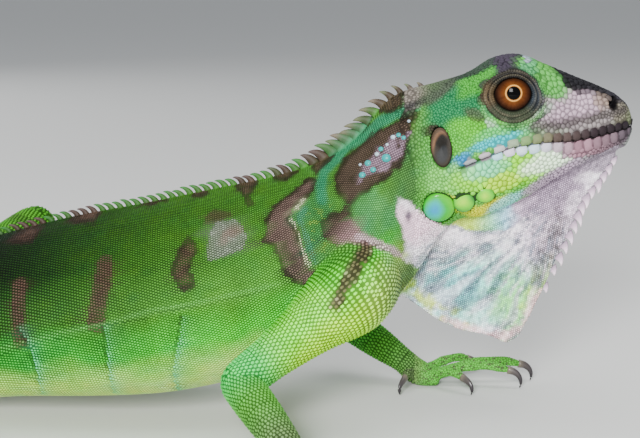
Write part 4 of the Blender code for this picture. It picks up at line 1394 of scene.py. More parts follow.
def spot(points, x, z, wide, high, ragged=0.15, soft=0.3, lean=0.0):
    """1 within an oval seen from the side, with an uneven edge. Lean turns it, in degrees."""
    dx, dz = points[:, 0] - x, points[:, 2] - z
    cos, sin = math.cos(math.radians(lean)), math.sin(math.radians(lean))
    gone = np.hypot((dx * cos + dz * sin) / wide, (dz * cos - dx * sin) / high)
    gone += noise(points, 2.0, 8) * ragged
    return 1 - ramp(gone, 1 - soft, 1 + soft)


def area(points, outline, ragged=0.6, soft=0.45):
    """1 inside an outline seen from the side, with an uneven edge."""
    ring = np.array(tuple(outline) + tuple(outline[:1]))
    off, _ = from_line(points, ring)
    inside = np.zeros(len(points), bool)
    x, z = points[:, 0], points[:, 2]
    for (ax, az), (bx, bz) in zip(ring[:-1], ring[1:]):
        if az != bz:
            crossed = (az > z) != (bz > z)
            inside ^= crossed & (x < ax + (bx - ax) * (z - az) / (bz - az))
    gone = np.where(inside, -np.abs(off), np.abs(off))
    gone += ragged * (noise(points, 2.2, 5) + 0.6 * noise(points, 0.9, 6))
    return 1 - ramp(gone, -soft, soft)


BROWN = paint(92, 68, 58)
BROWN_DARK = paint(60, 44, 36)
MAUVE = paint(118, 92, 88)
CREAM = paint(226, 226, 200)
TEAL = paint(66, 148, 108)
PINK = paint(156, 134, 148)
CHARCOAL = paint(46, 44, 50)

# Greens from the belly, 0, to the back, 1, at the front and at the rear. The palest belly stops are partly
# the belly's own colour and partly painted light against the shade under the body; the rear's dark back is
# partly its own colour and partly painted shade.
FRONT_GREENS = (
    (0.0, paint(228, 255, 196)), (0.14, paint(214, 255, 180)), (0.30, paint(136, 228, 128)),
    (0.50, paint(106, 172, 82)), (0.76, paint(84, 142, 58)), (1.00, paint(76, 130, 50)),
)
REAR_GREENS = (
    (0.0, paint(228, 255, 192)), (0.14, paint(212, 255, 176)), (0.30, paint(88, 180, 90)),
    (0.50, paint(62, 116, 46)), (0.76, paint(20, 50, 10)), (1.00, paint(16, 42, 8)),
)
# The markings, as lines and outlines seen from the side. First the dark bars on the flank: the line of
# each, and its half width.
BARS = (
    (((-88, 38.5), (-87.5, 32), (-87, 25)), 2.0),
    (((-65.5, 44.5), (-66, 38), (-67, 30.5)), 2.2),
    (((-108, 33), (-108.5, 27)), 2.0),
)
# Brown saddles over the back, from the middle of the trunk to the nape, then three alike on the rump.
SADDLES = (
    ((-62, 60), (-56.5, 62), (-52.5, 60), (-52.5, 58.5), (-57.5, 57), (-61.5, 57)),
    ((-46.5, 63), (-43, 64), (-40.5, 62.5), (-42, 60), (-45.5, 59.5), (-47, 60.5)),
    ((-35, 65), (-31, 66.5), (-28, 65), (-28.5, 62.5), (-29.5, 61), (-27.5, 59), (-30, 58.5), (-32.5, 61.5),
     (-34.5, 62)),
    ((-25, 67.5), (-21.5, 69.5), (-18, 70), (-17.5, 66.5), (-20, 64.5), (-24, 64)),
    ((-14, 71), (-10.5, 74), (-8, 74.5), (-8, 70.5), (-12.5, 66), (-14, 67.5)),
    ((-6, 75), (-3.5, 80), (-0.5, 82.5), (1.5, 79.5), (0, 77.5), (-5, 74)),
    ((3.5, 82), (1.5, 84), (3, 88), (7, 90), (10, 90), (10, 84), (7, 82.5)),
) + tuple(
    ((x, z), (x + 6, z + 4), (x + 10.5, z + 4), (x + 9, z + 0.5))
    for x, z in ((-80, 52.5), (-96, 47.5), (-112, 42))
)
NAPE_GREY = ((9.5, 89.5), (20.5, 93), (18.5, 88.5), (12.5, 83.5), (10, 83.5))
NAPE_DARK = ((11, 84), (15, 86), (19, 88), (24, 91.5))
SADDLE_PATCH = ((-42, 56), (-39, 57.5), (-34, 57.5), (-33.5, 56.5), (-37.5, 55), (-40.5, 55))
# The brown band from the back down to the shoulder, its cream front edge and the teal beside that.
BAND_D = (
    (-14.5, 66), (-17.5, 63.5), (-23, 59.5), (-24.5, 57), (-25, 54), (-25, 51), (-22.5, 50), (-20, 44.5),
    (-16, 40.5), (-13, 39.5), (-10, 41.5), (-9.5, 44), (-12.5, 45), (-14, 47), (-16.5, 54.5), (-18.5, 56.5),
    (-17.5, 58.5), (-13, 62.5), (-12, 65.5),
)
D_EDGE = ((-15.5, 60), (-17.5, 58.5), (-18.5, 56.5), (-16.5, 54.5), (-14, 47), (-12.5, 44.5), (-9.5, 43.5))
D_TEAL = ((-15, 58.5), (-16, 56.5), (-13.5, 51), (-12.5, 48), (-11.5, 46))
# The short hooked bar on the flank.
BAR_C = (
    (-44.5, 52), (-41.5, 50), (-41.5, 48), (-43.5, 44), (-41.5, 42.5), (-41.5, 40.5), (-44.5, 38.5),
    (-46.5, 40.5), (-48, 43.5), (-47.5, 46.5), (-46.5, 49),
)
# The brown patch on the side of the neck, with the pink in it and below it.
BAND_E = (
    (9.5, 81.5), (5, 79.5), (-3.5, 72.5), (-7, 68.5), (-8, 65.5), (-7, 63), (-4, 60), (-10.5, 56),
    (-10.5, 52.5), (-6.5, 50.5), (-1, 52.5), (-3, 55.5), (-3, 58.5), (-1, 61.5), (2, 64), (6.5, 66.5),
    (9.5, 69.5), (11, 73), (12.5, 81),
)
PINK_IN_E = (
    (6.5, 76.5), (11.5, 78), (11, 75), (9.5, 72.5), (6.5, 69.5), (3.5, 68), (0, 65.5), (-2, 66), (-1, 68),
    (2.5, 72.5),
)
PINK_BELOW_E = ((-9.5, 55), (-4, 57), (3, 51.5), (1, 50.5), (-3.5, 50.5), (-6.5, 51), (-10, 52.5))
PINK_LINE = ((-1, 52.5), (4, 50.5), (7.5, 48.5), (10.5, 46))
# Pink skin where the dewlap leaves the neck.
PINK_ROOT = (
    (9, 62), (12, 61), (15.5, 57.5), (19.5, 54), (30, 51.5), (24, 40), (14, 42), (10, 45.5), (11, 50),
    (10, 55), (8.5, 58.5),
)
TEAL_STRIPE = (
    (13, 84.5), (7.5, 82), (5, 81), (2, 78), (-5, 73.5), (-9, 69), (-10.5, 67), (-11, 64), (-10.5, 61),
)
# Grey skin that is being shed, on the right flank.
SHED_PATCH = (
    (-37.5, 55), (-33, 56), (-30.5, 54.5), (-29, 52), (-30, 49), (-38.5, 46.5), (-39, 49.5), (-39, 52.5),
)
ARM_TOP = (5.0, 48.5)    # a place on the middle line of the upper arm, which slopes down from it
ARM_STREAK = ((1, 49.5), (-1, 46.5), (-3.5, 42), (-6, 37.5))


def body_rise(points):
    """Height on the trunk, from 0 at the belly to 1 at the back."""
    table = np.array(STATIONS)
    x = -points[:, 0]
    low = np.interp(x, -table[:, 0], table[:, 1] - table[:, 5])
    high = np.interp(x, -table[:, 0], table[:, 1] + table[:, 4])
    return (points[:, 2] - low) / (high - low)


def below_top(points):
    """How far down from the outline of the back and the crown."""
    table = np.array(STATIONS)
    return np.interp(-points[:, 0], -table[:, 0], table[:, 1] + table[:, 4]) - points[:, 2]


def shaded_area(points, out, outline, colour, edge_colour, share=0.95, ragged=0.6):
    """An outlined area painted one colour, uneven, with another along its inner edge."""
    inside = area(points, outline, ragged)
    ring = np.array(tuple(outline) + tuple(outline[:1]))
    off, _ = from_line(points, ring)
    rim = 1 - ramp(np.abs(off) + 0.4 * noise(points, 1.6, 25), 0.4, 1.5)
    paints = mixed(flood(colour, out), edge_colour, rim)
    paints = mixed(paints, edge_colour, ramp(noise(points, 2.4, 26), 0.1, 0.8) * 0.6)
    return mixed(out, paints, inside * share)


def trunk_greens(points):
    """The greens of the trunk and neck, mottled with teal and yellow, with painted light on the belly and
    painted shade on the rear of the back.
    """
    x, rise = points[:, 0], body_rise(points)
    level = rise + 0.05 * noise(points, 6, 1)
    out = mixed(gradient(level, FRONT_GREENS), gradient(level, REAR_GREENS), ramp(-x, 8, 104))
    out = mixed(out, paint(88, 146, 70), ramp(x, -24, -6) * ramp(rise, 0.2, 0.5) * 0.7)
    out = mixed(out, paint(78, 122, 66), ramp(x, 2, 12) * 0.85)
    out = mixed(out, paint(70, 138, 78), spot(points, -12, 55, 4.5, 9, 0.3, 0.4) * 0.85)
    yellow = ramp(noise(points, 1.0, 27), 0.25, 0.6) * spot(points, -11, 54, 4.0, 8, 0.3, 0.4)
    out = mixed(out, paint(140, 172, 84), yellow * 0.45)
    out = mixed(out, paint(90, 160, 108), spot(points, 3.0, 57.5, 6.5, 5.5, 0.3, 0.4) * 0.6)
    tint = noise(points, 2.8, 21)
    out = mixed(out, out * (0.72, 1.0, 1.7), ramp(tint, 0.1, 0.9) * 0.45)
    return mixed(out, out * (1.35, 1.06, 0.6), ramp(-tint, 0.1, 0.9) * 0.45)


def body_colours(points):
    """Colours of the trunk and neck, with their bars and bands, and painted shade in the belly folds."""
    x, rise = points[:, 0], body_rise(points)
    out = trunk_greens(points)
    out = mixed(out, TEAL, stroke(points, TEAL_STRIPE, 1.35, 0.3, 0.5) * 0.9)
    for line, half in BARS:
        out = mixed(out, BROWN, stroke(points, line, half) * 0.93)
    out = shaded_area(points, out, BAR_C, BROWN, BROWN_DARK)
    for outline in SADDLES:
        out = shaded_area(points, out, outline, BROWN, BROWN_DARK, 0.92, 0.4)
    out = mixed(out, paint(128, 116, 112), area(points, NAPE_GREY, 0.4) * 0.9)
    out = mixed(out, paint(44, 42, 46), stroke(points, NAPE_DARK, 0.8, 0.3) * 0.85)
    out = mixed(out, BROWN, area(points, SADDLE_PATCH, 0.5) * 0.75)
    out = shaded_area(points, out, BAND_D, MAUVE, BROWN_DARK)
    out = mixed(out, CREAM, stroke(points, D_EDGE, 0.35, 0.9, 0.3) * 0.65)
    out = mixed(out, paint(84, 154, 128), stroke(points, D_TEAL, 0.7, 0.4, 0.4) * 0.5)
    out = shaded_area(points, out, BAND_E, paint(92, 70, 64), BROWN_DARK)
    out = mixed(out, PINK, area(points, PINK_IN_E, 0.9, 0.5) * ramp(noise(points, 1.4, 28), -0.9, 0.1) * 0.9)
    pink = area(points, PINK_BELOW_E, 0.7, 0.6) * ramp(x - 0.8 * points[:, 2], -52, -44)
    out = mixed(out, paint(164, 130, 132), pink * 0.9)
    out = mixed(out, paint(206, 184, 188), stroke(points, PINK_LINE, 0.8, 0.3, 0.4) * 0.85)
    out = mixed(out, BROWN_DARK, stroke(points, ((10.6, 81.8), (13.0, 82.6)), 1.3) * 0.9)
    off, _ = from_line(points, FLANK_FOLD)
    low_side = ramp(-points[:, 0], 14, 30) * ramp(points[:, 0], -112, -90) * (rise < 0.8)
    out = mixed(out, paint(126, 190, 116), hill(off + 0.7, 0.45) * low_side * 0.35)
    for fold in BELLY_FOLDS:
        off, run = from_line(points, fold)
        low = (rise < 0.6) * ramp(run, 0.0, 1.5) * (points[:, 2] < fold[0][1] + 0.5)
        # Painted shade in the crease of each belly fold.
        deep = hill(off + 0.2, 0.34) * (0.85 - 0.45 * ramp(run, 6, 18))
        out = mixed(out, paint(48, 50, 36), np.clip(deep, 0, 1) * low)
        glow = np.exp(-np.maximum(off - 0.7, 0) / 1.3) * ramp(off, 0.1, 0.5)
        glow = glow * (1 + 0.3 * noise(points, 1.6, 31))
        out = mixed(out, paint(136, 216, 172), np.clip(glow, 0, 1) * low * (0.25 + 0.6 * ramp(run, 2, 14)))
    near_side = points[:, 1] < 0
    flake = mixed(flood(paint(126, 136, 118), out), paint(146, 122, 114),
                  spot(points, -33.4, 52.4, 2.6, 1.4, 0.5, 0.5, 30) * 0.8)
    flake = mixed(flake, paint(172, 178, 166), ramp(noise(points * (1, 1, 2.5), 1.4, 33), 0.1, 0.8) * 0.6)
    return mixed(out, flake, area(points, SHED_PATCH, 0.25, 0.25) * near_side * 0.95)


def tail_colours(points, along):
    """Green with dark rings, browner towards the tip."""
    share = (along - VENT) / (ALONG[-1] - VENT)
    base = gradient(share, (
        (0.0, paint(70, 112, 46)), (0.25, paint(88, 132, 66)), (0.6, paint(112, 134, 82)),
        (1.0, paint(120, 112, 84)),
    ))
    wave = np.sin((along - VENT) * 2 * math.pi / 27.0 + 0.5 * noise(points, 4, 3))
    ringed = ramp(wave, 0.1, 0.55)
    edge = hill(wave + 0.05, 0.12)
    base = mixed(base, paint(150, 196, 140), edge * 0.6)
    base = mixed(base, gradient(share, ((0.0, BROWN_DARK), (1.0, paint(58, 48, 40)))), ringed * 0.9)
    under = ramp(4 - points[:, 2], -1, 4)
    return mixed(base, paint(150, 178, 112), under * 0.4)


def leg_colours(points, run, kind):
    """Green limbs, dark along the upper side of the arm and yellower below, greyer on the toes."""
    out = flood(paint(140, 222, 120), points)
    out = mixed(out, paint(188, 250, 158), ramp(noise(points, 6, 2), -0.2, 0.9) * 0.7)
    out = mixed(out, paint(92, 168, 80), ramp(noise(points, 4, 12), 0.2, 0.9) * 0.4)
    if kind == "foot":
        out = mixed(out, paint(52, 84, 30), ramp(points[:, 2], 24, 48) * 0.75)
        bands = ramp(np.sin(run * 0.36 + 0.8 * noise(points, 6, 4)), 0.45, 0.8)
        out = mixed(out, paint(58, 62, 36), bands * 0.45 * ramp(run, 20, 40))
        toes = ramp(run, 88, 112)
    else:
        off = (points[:, 2] - ARM_TOP[1]) * 0.79 - (points[:, 0] - ARM_TOP[0]) * 0.61
        off = off + 1.2 * noise(points, 3, 62)
        out = mixed(out, paint(52, 122, 48), ramp(off, 1, 8) * 0.8)
        out = mixed(out, paint(208, 250, 140), ramp(-off, 1, 8) * 0.75)
        out = mixed(out, paint(92, 198, 124), ramp(run, 30, 42) * 0.75)
        out = mixed(out, paint(96, 150, 64), ramp(run, 44, 58) * 0.75)
        toes = ramp(run, 56, 74)
    return mixed(out, paint(110, 122, 90), toes * 0.8)


# The crease between the throat and the dewlap.
THROAT_CREASE = (
    (12, 60), (20, 54), (27, 51.5), (36.5, 51), (39.5, 52.5), (44.5, 57.5), (50.5, 63), (57, 67),
)
STREAKS_FROM = (52.0, 62.0)    # the place near the chin that the dewlap's streaks spread from


def streak_fan(points):
    """Places in a fan that spreads from near the chin: how far out, and the place across and along it."""
    x, z = points[:, 0], points[:, 2]
    turn = np.arctan2(STREAKS_FROM[1] - z, STREAKS_FROM[0] - x)
    far = np.hypot(STREAKS_FROM[0] - x, STREAKS_FROM[1] - z)
    bent = turn + 0.05 * noise(points, 6.0, 43)
    there = ramp(far, 5, 13) * (1 - ramp(far, 46, 56)) * ramp(turn, 0.16, 0.36)
    return np.stack([bent * 15, 0 * far, far * 0.10], axis=1), there


def dewlap_strands(points):
    """Where the dewlap's blue grey streaks run, 0 to 1."""
    fan, there = streak_fan(points)
    return ramp(noise(fan, 1.0, 9) + 0.25 * noise(points, 3.0, 41), 0.05, 0.5) * there


def dewlap_gap_shade(points):
    """How deep the painted shade in the gaps between the dewlap's scales is: most at the rear and along the
    streaks.
    """
    dark = 0.8 * dewlap_strands(points)
    for strength, oval in (
        (1.0, (16.5, 43, 7.5, 8.5, 0.2, 0.4, 20)), (1.0, (48.5, 49, 4, 10, 0.3, 0.4, -16)),
        (0.8, (48, 60, 8, 6, 0.2, 0.4, 35)),
    ):
        dark = np.maximum(dark, spot(points, *oval) * strength)
    return np.clip(0.28 + 0.62 * dark, 0, 1)


# Patches of colour on the dewlap: x, z, half width, half height, raggedness, softness, lean in degrees,
# colour, strength.
DEWLAP_SPOTS = (
    (33, 34, 18, 11, 0.35, 0.5, 0, paint(172, 226, 212), 0.95),
    (21, 36, 9, 6, 0.5, 0.6, 0, paint(150, 212, 214), 0.8),
    (41, 31, 7, 10, 0.4, 0.5, 0, paint(172, 228, 164), 0.9),
    (45.6, 37, 2.4, 8, 0.4, 0.5, -22, paint(200, 220, 136), 0.7),
    (48, 52, 6, 12, 0.3, 0.5, -22, paint(206, 186, 204), 0.7),
    (49, 62, 10, 6, 0.2, 0.5, 35, paint(176, 158, 178), 0.9),
)
DEWLAP_ROOT_SPOTS = (
    (10.4, 40.5, 3.0, 5.5, 0.5, 0.6, 0, paint(196, 222, 110), 0.8),
    (13.0, 54.5, 7.5, 5.0, 0.3, 0.5, 0, paint(246, 214, 228), 0.8),
)
THROAT_COLOURS = (
    (20, paint(200, 216, 104)), (29, paint(200, 224, 120)), (33, paint(166, 220, 184)),
    (36, paint(170, 210, 226)), (40, paint(200, 182, 200)), (46, paint(180, 162, 182)),
    (58, paint(150, 136, 152)),
)


def with_spots(points, out, rows):
    """Colours with ovals of others over them."""
    for *oval, colour, strength in rows:
        out = mixed(out, colour, spot(points, *oval) * strength)
    return out


def with_streaks(points, out):
    """The streaks that spread over the dewlap from near the chin, broad ones first, then finer."""
    fan, there = streak_fan(points)
    strands = dewlap_strands(points)
    patchy = noise(points, 3.0, 41)
    out = mixed(out, paint(124, 152, 166), strands * 0.4)
    out = mixed(out, paint(246, 236, 248), ramp(noise(fan * (1.8, 1, 1.4), 1.0, 19), 0.0, 0.6) * there * 0.5)
    fine = ramp(noise(fan * (2.8, 1, 3.2), 1.0, 29) + 0.35 * patchy + 0.35 * strands, 0.15, 0.5) * there
    out = mixed(out, paint(98, 120, 134), fine * 0.5)
    fibres = ramp(noise(fan * (4.5, 1, 5.0), 1.0, 39), 0.1, 0.5) * there
    return mixed(out, paint(140, 148, 170), fibres * 0.35)


def dewlap_colours(points):
    """Lavender above, teal and green below, with blue grey streaks spreading from the chin, and painted shade
    along two creases.
    """
    x, z = points[:, 0], points[:, 2]
    out = with_spots(points, flood(paint(255, 244, 255), points), DEWLAP_SPOTS)
    out = with_streaks(points, out)
    rear = stroke(points, ((10.5, 42), (12.5, 35), (18, 30), (26.5, 25.5)), 1.8, 1.6, 1.6)
    out = mixed(out, paint(206, 222, 120), rear * ramp(noise(points, 1.6, 42), -0.5, 0.4) * 0.75)
    foot = stroke(points, ((22, 26.5), (30, 24), (37, 22.5), (42.5, 26), (46.5, 35)), 1.1, 0.9, 1.0)
    out = mixed(out, paint(238, 208, 210), foot * 0.85)
    flecks = ramp(noise(points, 0.75, 11), -0.35, 0.25) * spot(points, 48.8, 48.5, 3.0, 9.0, 0.3, 0.4, -16)
    out = mixed(out, paint(104, 92, 82), flecks * 0.55)
    # Painted shade along a crease of the dewlap.
    crease, _ = from_line(points, np.array(((36, 51), (40, 54), (44.5, 58.5), (50.5, 64))))
    out = mixed(out, paint(96, 84, 104), hill(crease, 0.45) * 0.8)
    over = z - np.interp(x, [row[0] for row in THROAT_CREASE], [row[1] for row in THROAT_CREASE])
    patchy = noise(points, 3.0, 41)
    throat = gradient(x + 1.5 * patchy, THROAT_COLOURS)
    out = mixed(out, throat, ramp(over + 0.5 * patchy, -0.2, 0.6) * ramp(x, 17, 21) * 0.9)
    # Painted shade along the crease between the throat and the dewlap.
    line = hill(over + 0.2, 0.4) * ramp(x, 18, 22) * (1 - ramp(x, 36, 38))
    out = mixed(out, paint(120, 136, 150), line * 0.6)
    return with_spots(points, out, DEWLAP_ROOT_SPOTS)


# Patches of colour on the head: x, z, half width, half height, lean in degrees, colour, strength.
HEAD_SPOTS = (
    (24, 84, 9, 8, 0, paint(34, 116, 78), 0.9),
    (20, 70, 5, 9, 0, paint(96, 156, 88), 0.7),
    (30, 79, 8, 3.2, -10, paint(112, 186, 76), 0.75),
    (36, 78, 8, 2.8, 10, paint(104, 186, 122), 0.8),
    (24, 76, 3.5, 5, 0, paint(104, 178, 84), 0.7),
    (33, 76.4, 7, 1.2, 18, paint(70, 176, 190), 0.85),
    (24.2, 71.0, 4.2, 1.7, 40, paint(50, 128, 186), 0.9),
    (22, 66, 6, 5, 0, paint(132, 194, 116), 0.85),
    (38, 69.5, 15, 5.2, 14, paint(160, 216, 104), 0.9),
    (35.4, 65.9, 4.6, 2.2, 12, paint(186, 214, 72), 0.7),
    (30, 69, 5, 2.2, 15, paint(146, 208, 170), 0.7),
    (49, 71.6, 9, 2.8, 18, paint(236, 255, 232), 0.9),
    (57, 74.0, 6, 1.8, 24, paint(196, 208, 190), 0.8),
    (33, 69.6, 4.6, 2.2, 14, paint(128, 204, 170), 0.6),
    (54, 68.2, 11, 2.8, 27, paint(146, 134, 146), 0.95),
    (64, 75.6, 6.4, 3.6, 25, paint(112, 98, 110), 0.95),
    (26, 59.0, 8, 2.0, -28, paint(204, 216, 96), 0.85),
    (32.5, 58.8, 6, 1.7, 26, paint(216, 216, 84), 0.85),
    (36.4, 59.8, 5.5, 1.7, 30, paint(160, 218, 216), 0.8),
    (48, 66.0, 9, 2.0, 32, paint(176, 158, 176), 0.85),
    (55, 84.0, 14, 7.0, 8, paint(136, 124, 128), 0.96),
    (52.5, 84.6, 8.5, 4.2, 8, paint(172, 152, 164), 0.9),
    (45.6, 84.0, 2.6, 1.6, 30, paint(142, 170, 144), 0.6),
    (60.8, 86.4, 2.4, 2.4, 0, paint(140, 122, 104), 0.7),
    (66.4, 82.6, 3.2, 3.4, 0, paint(112, 106, 92), 0.85),
    (57.5, 91.2, 10.5, 2.7, -18, paint(46, 43, 50), 0.96),
    (64.0, 88.0, 3.6, 2.0, -34, CHARCOAL, 0.9),
    (39, 99.2, 14, 1.9, -8, paint(48, 50, 58), 0.96),
    (27, 95.4, 9, 1.5, 26, paint(62, 56, 58), 0.9),
    (18, 88.8, 8, 2.6, 30, paint(84, 74, 70), 0.8),
    (29.6, 92.4, 7.2, 3.3, 40, paint(82, 158, 72), 0.95),
    (41.8, 94.2, 2.6, 2.4, 0, paint(92, 164, 118), 0.9),
    (46.4, 91.2, 6.2, 2.9, -38, paint(96, 160, 88), 0.97),
    (35.2, 95.7, 1.9, 3.2, 10, paint(74, 66, 80), 0.95),
    (30.4, 90.8, 1.9, 0.9, 38, paint(58, 50, 56), 0.9),
    (29.8, 86.8, 1.1, 1.4, 20, paint(62, 56, 54), 0.9),
    (28.2, 83.0, 3.0, 1.5, -24, paint(84, 74, 60), 0.7),
    (37.4, 80.2, 2.4, 0.8, 0, paint(44, 40, 44), 0.95),
    (44.8, 82.4, 2.4, 0.6, 38, paint(60, 54, 62), 0.8),
    (32.2, 81.0, 1.6, 0.9, -30, paint(176, 186, 182), 0.6),
    (16.4, 78.6, 2.2, 1.4, 10, paint(60, 48, 42), 0.95),
    (18.0, 79.6, 1.6, 1.0, 0, paint(60, 48, 42), 0.9),
)


# The dark top of the snout.
SNOUT_DARK = (
    (43.5, 98.5), (50, 92.5), (52, 89), (55, 88.5), (57, 89.5), (59, 87.5), (61, 88.5), (62.5, 88),
    (64.5, 88.5), (67.5, 85), (72, 84), (72, 93), (44, 101),
)


def head_colours(points):
    """Colours of the head, its lips and its lids."""
    p = folded_side(points)
    out = flood(paint(104, 172, 88), points)
    for x, z, wide, high, lean, colour, strength in HEAD_SPOTS:
        out = mixed(out, colour, spot(p, x, z, wide, high, 0.12, 0.28, lean) * strength)
    band = stroke(p, ((42.5, 79.6), (50.0, 80.6), (57.5, 82.0), (66.5, 83.6)), 0.9, 0.3, 0.6)
    out = mixed(out, paint(84, 78, 76), band * 0.85)
    strip = 1 - ramp(below_top(points) + 0.2 * noise(points, 1.8, 35), 0.3, 0.9)
    out = mixed(out, paint(50, 48, 56), strip * ramp(p[:, 0], 20, 25) * 0.92)
    out = mixed(out, paint(66, 56, 72), spot(p, 36.0, 96.2, 3.4, 3.4, 0.2, 0.3) * 0.9)
    out = mixed(out, paint(92, 158, 108), spot(p, 41.6, 94.6, 2.2, 2.0, 0.2, 0.3) * 0.9)
    out = mixed(out, paint(150, 146, 168), spot(p, 41.4, 96.4, 0.9, 0.7, 0.1, 0.3) * 0.8)
    out = mixed(out, paint(34, 32, 37), area(p, SNOUT_DARK, 0.5, 0.4) * 0.96)
    out = with_lip_colours(p, out)
    out = with_lid_colours(points, out)
    under = ramp(14.0 - p[:, 1] * 3.2, 0, 10) * (p[:, 2] < 66 + 0.3 * (p[:, 0] - 30))
    return mixed(out, paint(196, 206, 200), under * 0.5)


UPPER_LIP = (
    (2, paint(140, 150, 152)), (8, paint(172, 164, 170)), (14, paint(160, 162, 158)),
    (17, paint(126, 158, 108)), (23, paint(112, 112, 86)), (27, paint(88, 74, 70)),
    (36, paint(54, 44, 48)), (47, paint(46, 40, 45)),
)
LOWER_LIP = (
    (3, paint(84, 172, 196)), (10, paint(150, 196, 200)), (14, paint(190, 184, 196)),
    (20, paint(208, 228, 234)), (25, paint(192, 182, 190)), (31, paint(156, 120, 132)),
    (37, paint(140, 112, 122)), (43, paint(100, 88, 96)), (49, paint(84, 76, 84)),
)


def with_lip_colours(p, out):
    """Pale plates on the lower lip and darker ones on the upper, both greyer towards the snout."""
    off, run = from_line(p, MOUTH_LINE)
    on_lips = (p[:, 0] > 24.5) & (run > 1.2)
    high = 2 * along_lip(run, UPPER_HALF)
    low = 2 * along_lip(run, LOWER_HALF) + 0.8 * ramp(run, 24, 30)
    upper = (1 - ramp(off - high, -0.2, 0.25)) * (off > 0)
    lower = (1 - ramp(-off - low, -0.2, 0.25)) * (off <= 0)
    out = mixed(out, gradient(run, UPPER_LIP), upper * on_lips)
    return mixed(out, gradient(run, LOWER_LIP), lower * on_lips)


def with_lid_colours(points, out):
    """Grey olive folds round the eyes, paler below, tan at the rear corner, with painted shade in the grooves
    between the folds and near black painted shade at the lids' edge.
    """
    for side in (1, -1):
        far, turn, _ = lid_place(points, side)
        front, high = np.cos(turn), np.sin(turn)
        base = mixed(flood(paint(50, 52, 42), out), paint(88, 74, 54), ramp(-front, 0.80, 0.97))
        base = mixed(base, paint(56, 64, 74), ramp(front, 0.6, 0.95) * 0.8)
        base = mixed(base, paint(68, 78, 58), ramp(-high, 0.3, 0.9) * 0.6)
        base = mixed(base, paint(50, 47, 48), ramp(high, 0.3, 0.9) * 0.8)
        pale = hill(far - 1.22, 0.20) + hill(far - 2.45, 0.30)
        base = mixed(base, paint(98, 92, 76), pale * (0.3 + 0.3 * noise(points, 1.6, 51)))
        # Painted shade in the grooves between the lids' folds.
        groove = hill(far - 1.62, 0.22) + hill(far - 3.02, 0.26)
        groove += hill(far - 0.80, 0.14) * 0.6
        fan = np.stack([np.cos(turn) * 7, np.sin(turn) * 7, far * 0.7], axis=1)
        base = base * (1 + 0.28 * noise(fan, 1.0, 54))[:, None]
        base = mixed(base, paint(24, 22, 24), np.clip(groove, 0, 1) * (0.75 + 0.3 * noise(points, 2.0, 55)))
        # Painted shade, near black, at the lids' edge against the eyeball.
        base = mixed(base, paint(14, 12, 14), 1 - ramp(far, 0.05, 0.45))
        share = 1 - ramp(far, 3.1, 3.7)
        out = mixed(out, base, share)
        ring = hill(far - 4.1, 0.5) * ramp(-high, 0.0, 0.6)
        out = mixed(out, paint(120, 176, 112), ring * 0.7)
    return out


def on_root(places, part):
    """1 on the pink skin between the neck and the dewlap."""
    return area(places, PINK_ROOT, 0.5, 0.6) * (places[:, 0] > 7) * (part != "dewlap")


def arm_with_streak(places, out):
    """The brown streak on the outer side of the upper arm, flecked with cream."""
    streak = stroke(places, ARM_STREAK, 1.7, 0.7, 0.6) * (np.abs(places[:, 1]) > 9)
    out = mixed(out, paint(104, 78, 68), streak * 0.92)
    return mixed(out, paint(196, 190, 160), streak * ramp(noise(places, 1.2, 61), 0.35, 0.7) * 0.6)


def seed_colours(seeds, draw):
    """Every scale's colour, from where it grows."""
    places, part = seeds["place"], seeds["part"]
    body = body_colours(places)
    out = body.copy()
    tail = part == "tail"
    shown = tail_colours(places[tail], seeds["run"][tail])
    out[tail] = mixed(body[tail], shown, ramp(seeds["run"][tail], VENT, VENT + 25))
    for kind, name, *_ in every_leg():
        mine = part == f"{LIMB_OF[kind]}_{name}"
        shown = leg_colours(places[mine], seeds["run"][mine], kind)
        blend = (18, 36) if kind == "foot" else (4, 16)
        out[mine] = mixed(body[mine], shown, ramp(seeds["run"][mine], *blend))
        if kind == "hand":
            out[mine] = arm_with_streak(places[mine], out[mine])
    out = mixed(out, head_colours(places), (part == "head") * ramp(places[:, 0], 12.5, 18.0))
    out = mixed(out, dewlap_colours(places), np.maximum(part == "dewlap", on_root(places, part) * 0.95))
    fleck = spot(places, 11.6, 57.3, 0.9, 1.4, 0.3, 0.4) * (part != "dewlap")
    out = mixed(out, paint(96, 84, 104), fleck * 0.85)
    grain = (part == "dewlap") * (0.22 * noise(places, 0.7, 24) + 0.16 * draw.standard_normal(len(places)))
    blotched = np.where((part == "head") | (part == "dewlap"), 0.4, 1.0)
    uneven = blotched * (0.13 * noise(places, 1.1, 22) + 0.10 * noise(places, 4.2, 23))
    return out * (1 + uneven + grain + 0.08 * draw.standard_normal(len(places)))[:, None]


# ---------------------------------------------------------------- finishes
def node_material(name, roughness, specular=0.5):
    finish = bpy.data.materials.new(name)
    finish.use_nodes = True
    shader = finish.node_tree.nodes["Principled BSDF"]
    shader.inputs["Roughness"].default_value = roughness
    shader.inputs["Specular IOR Level"].default_value = specular
    return finish, finish.node_tree, shader


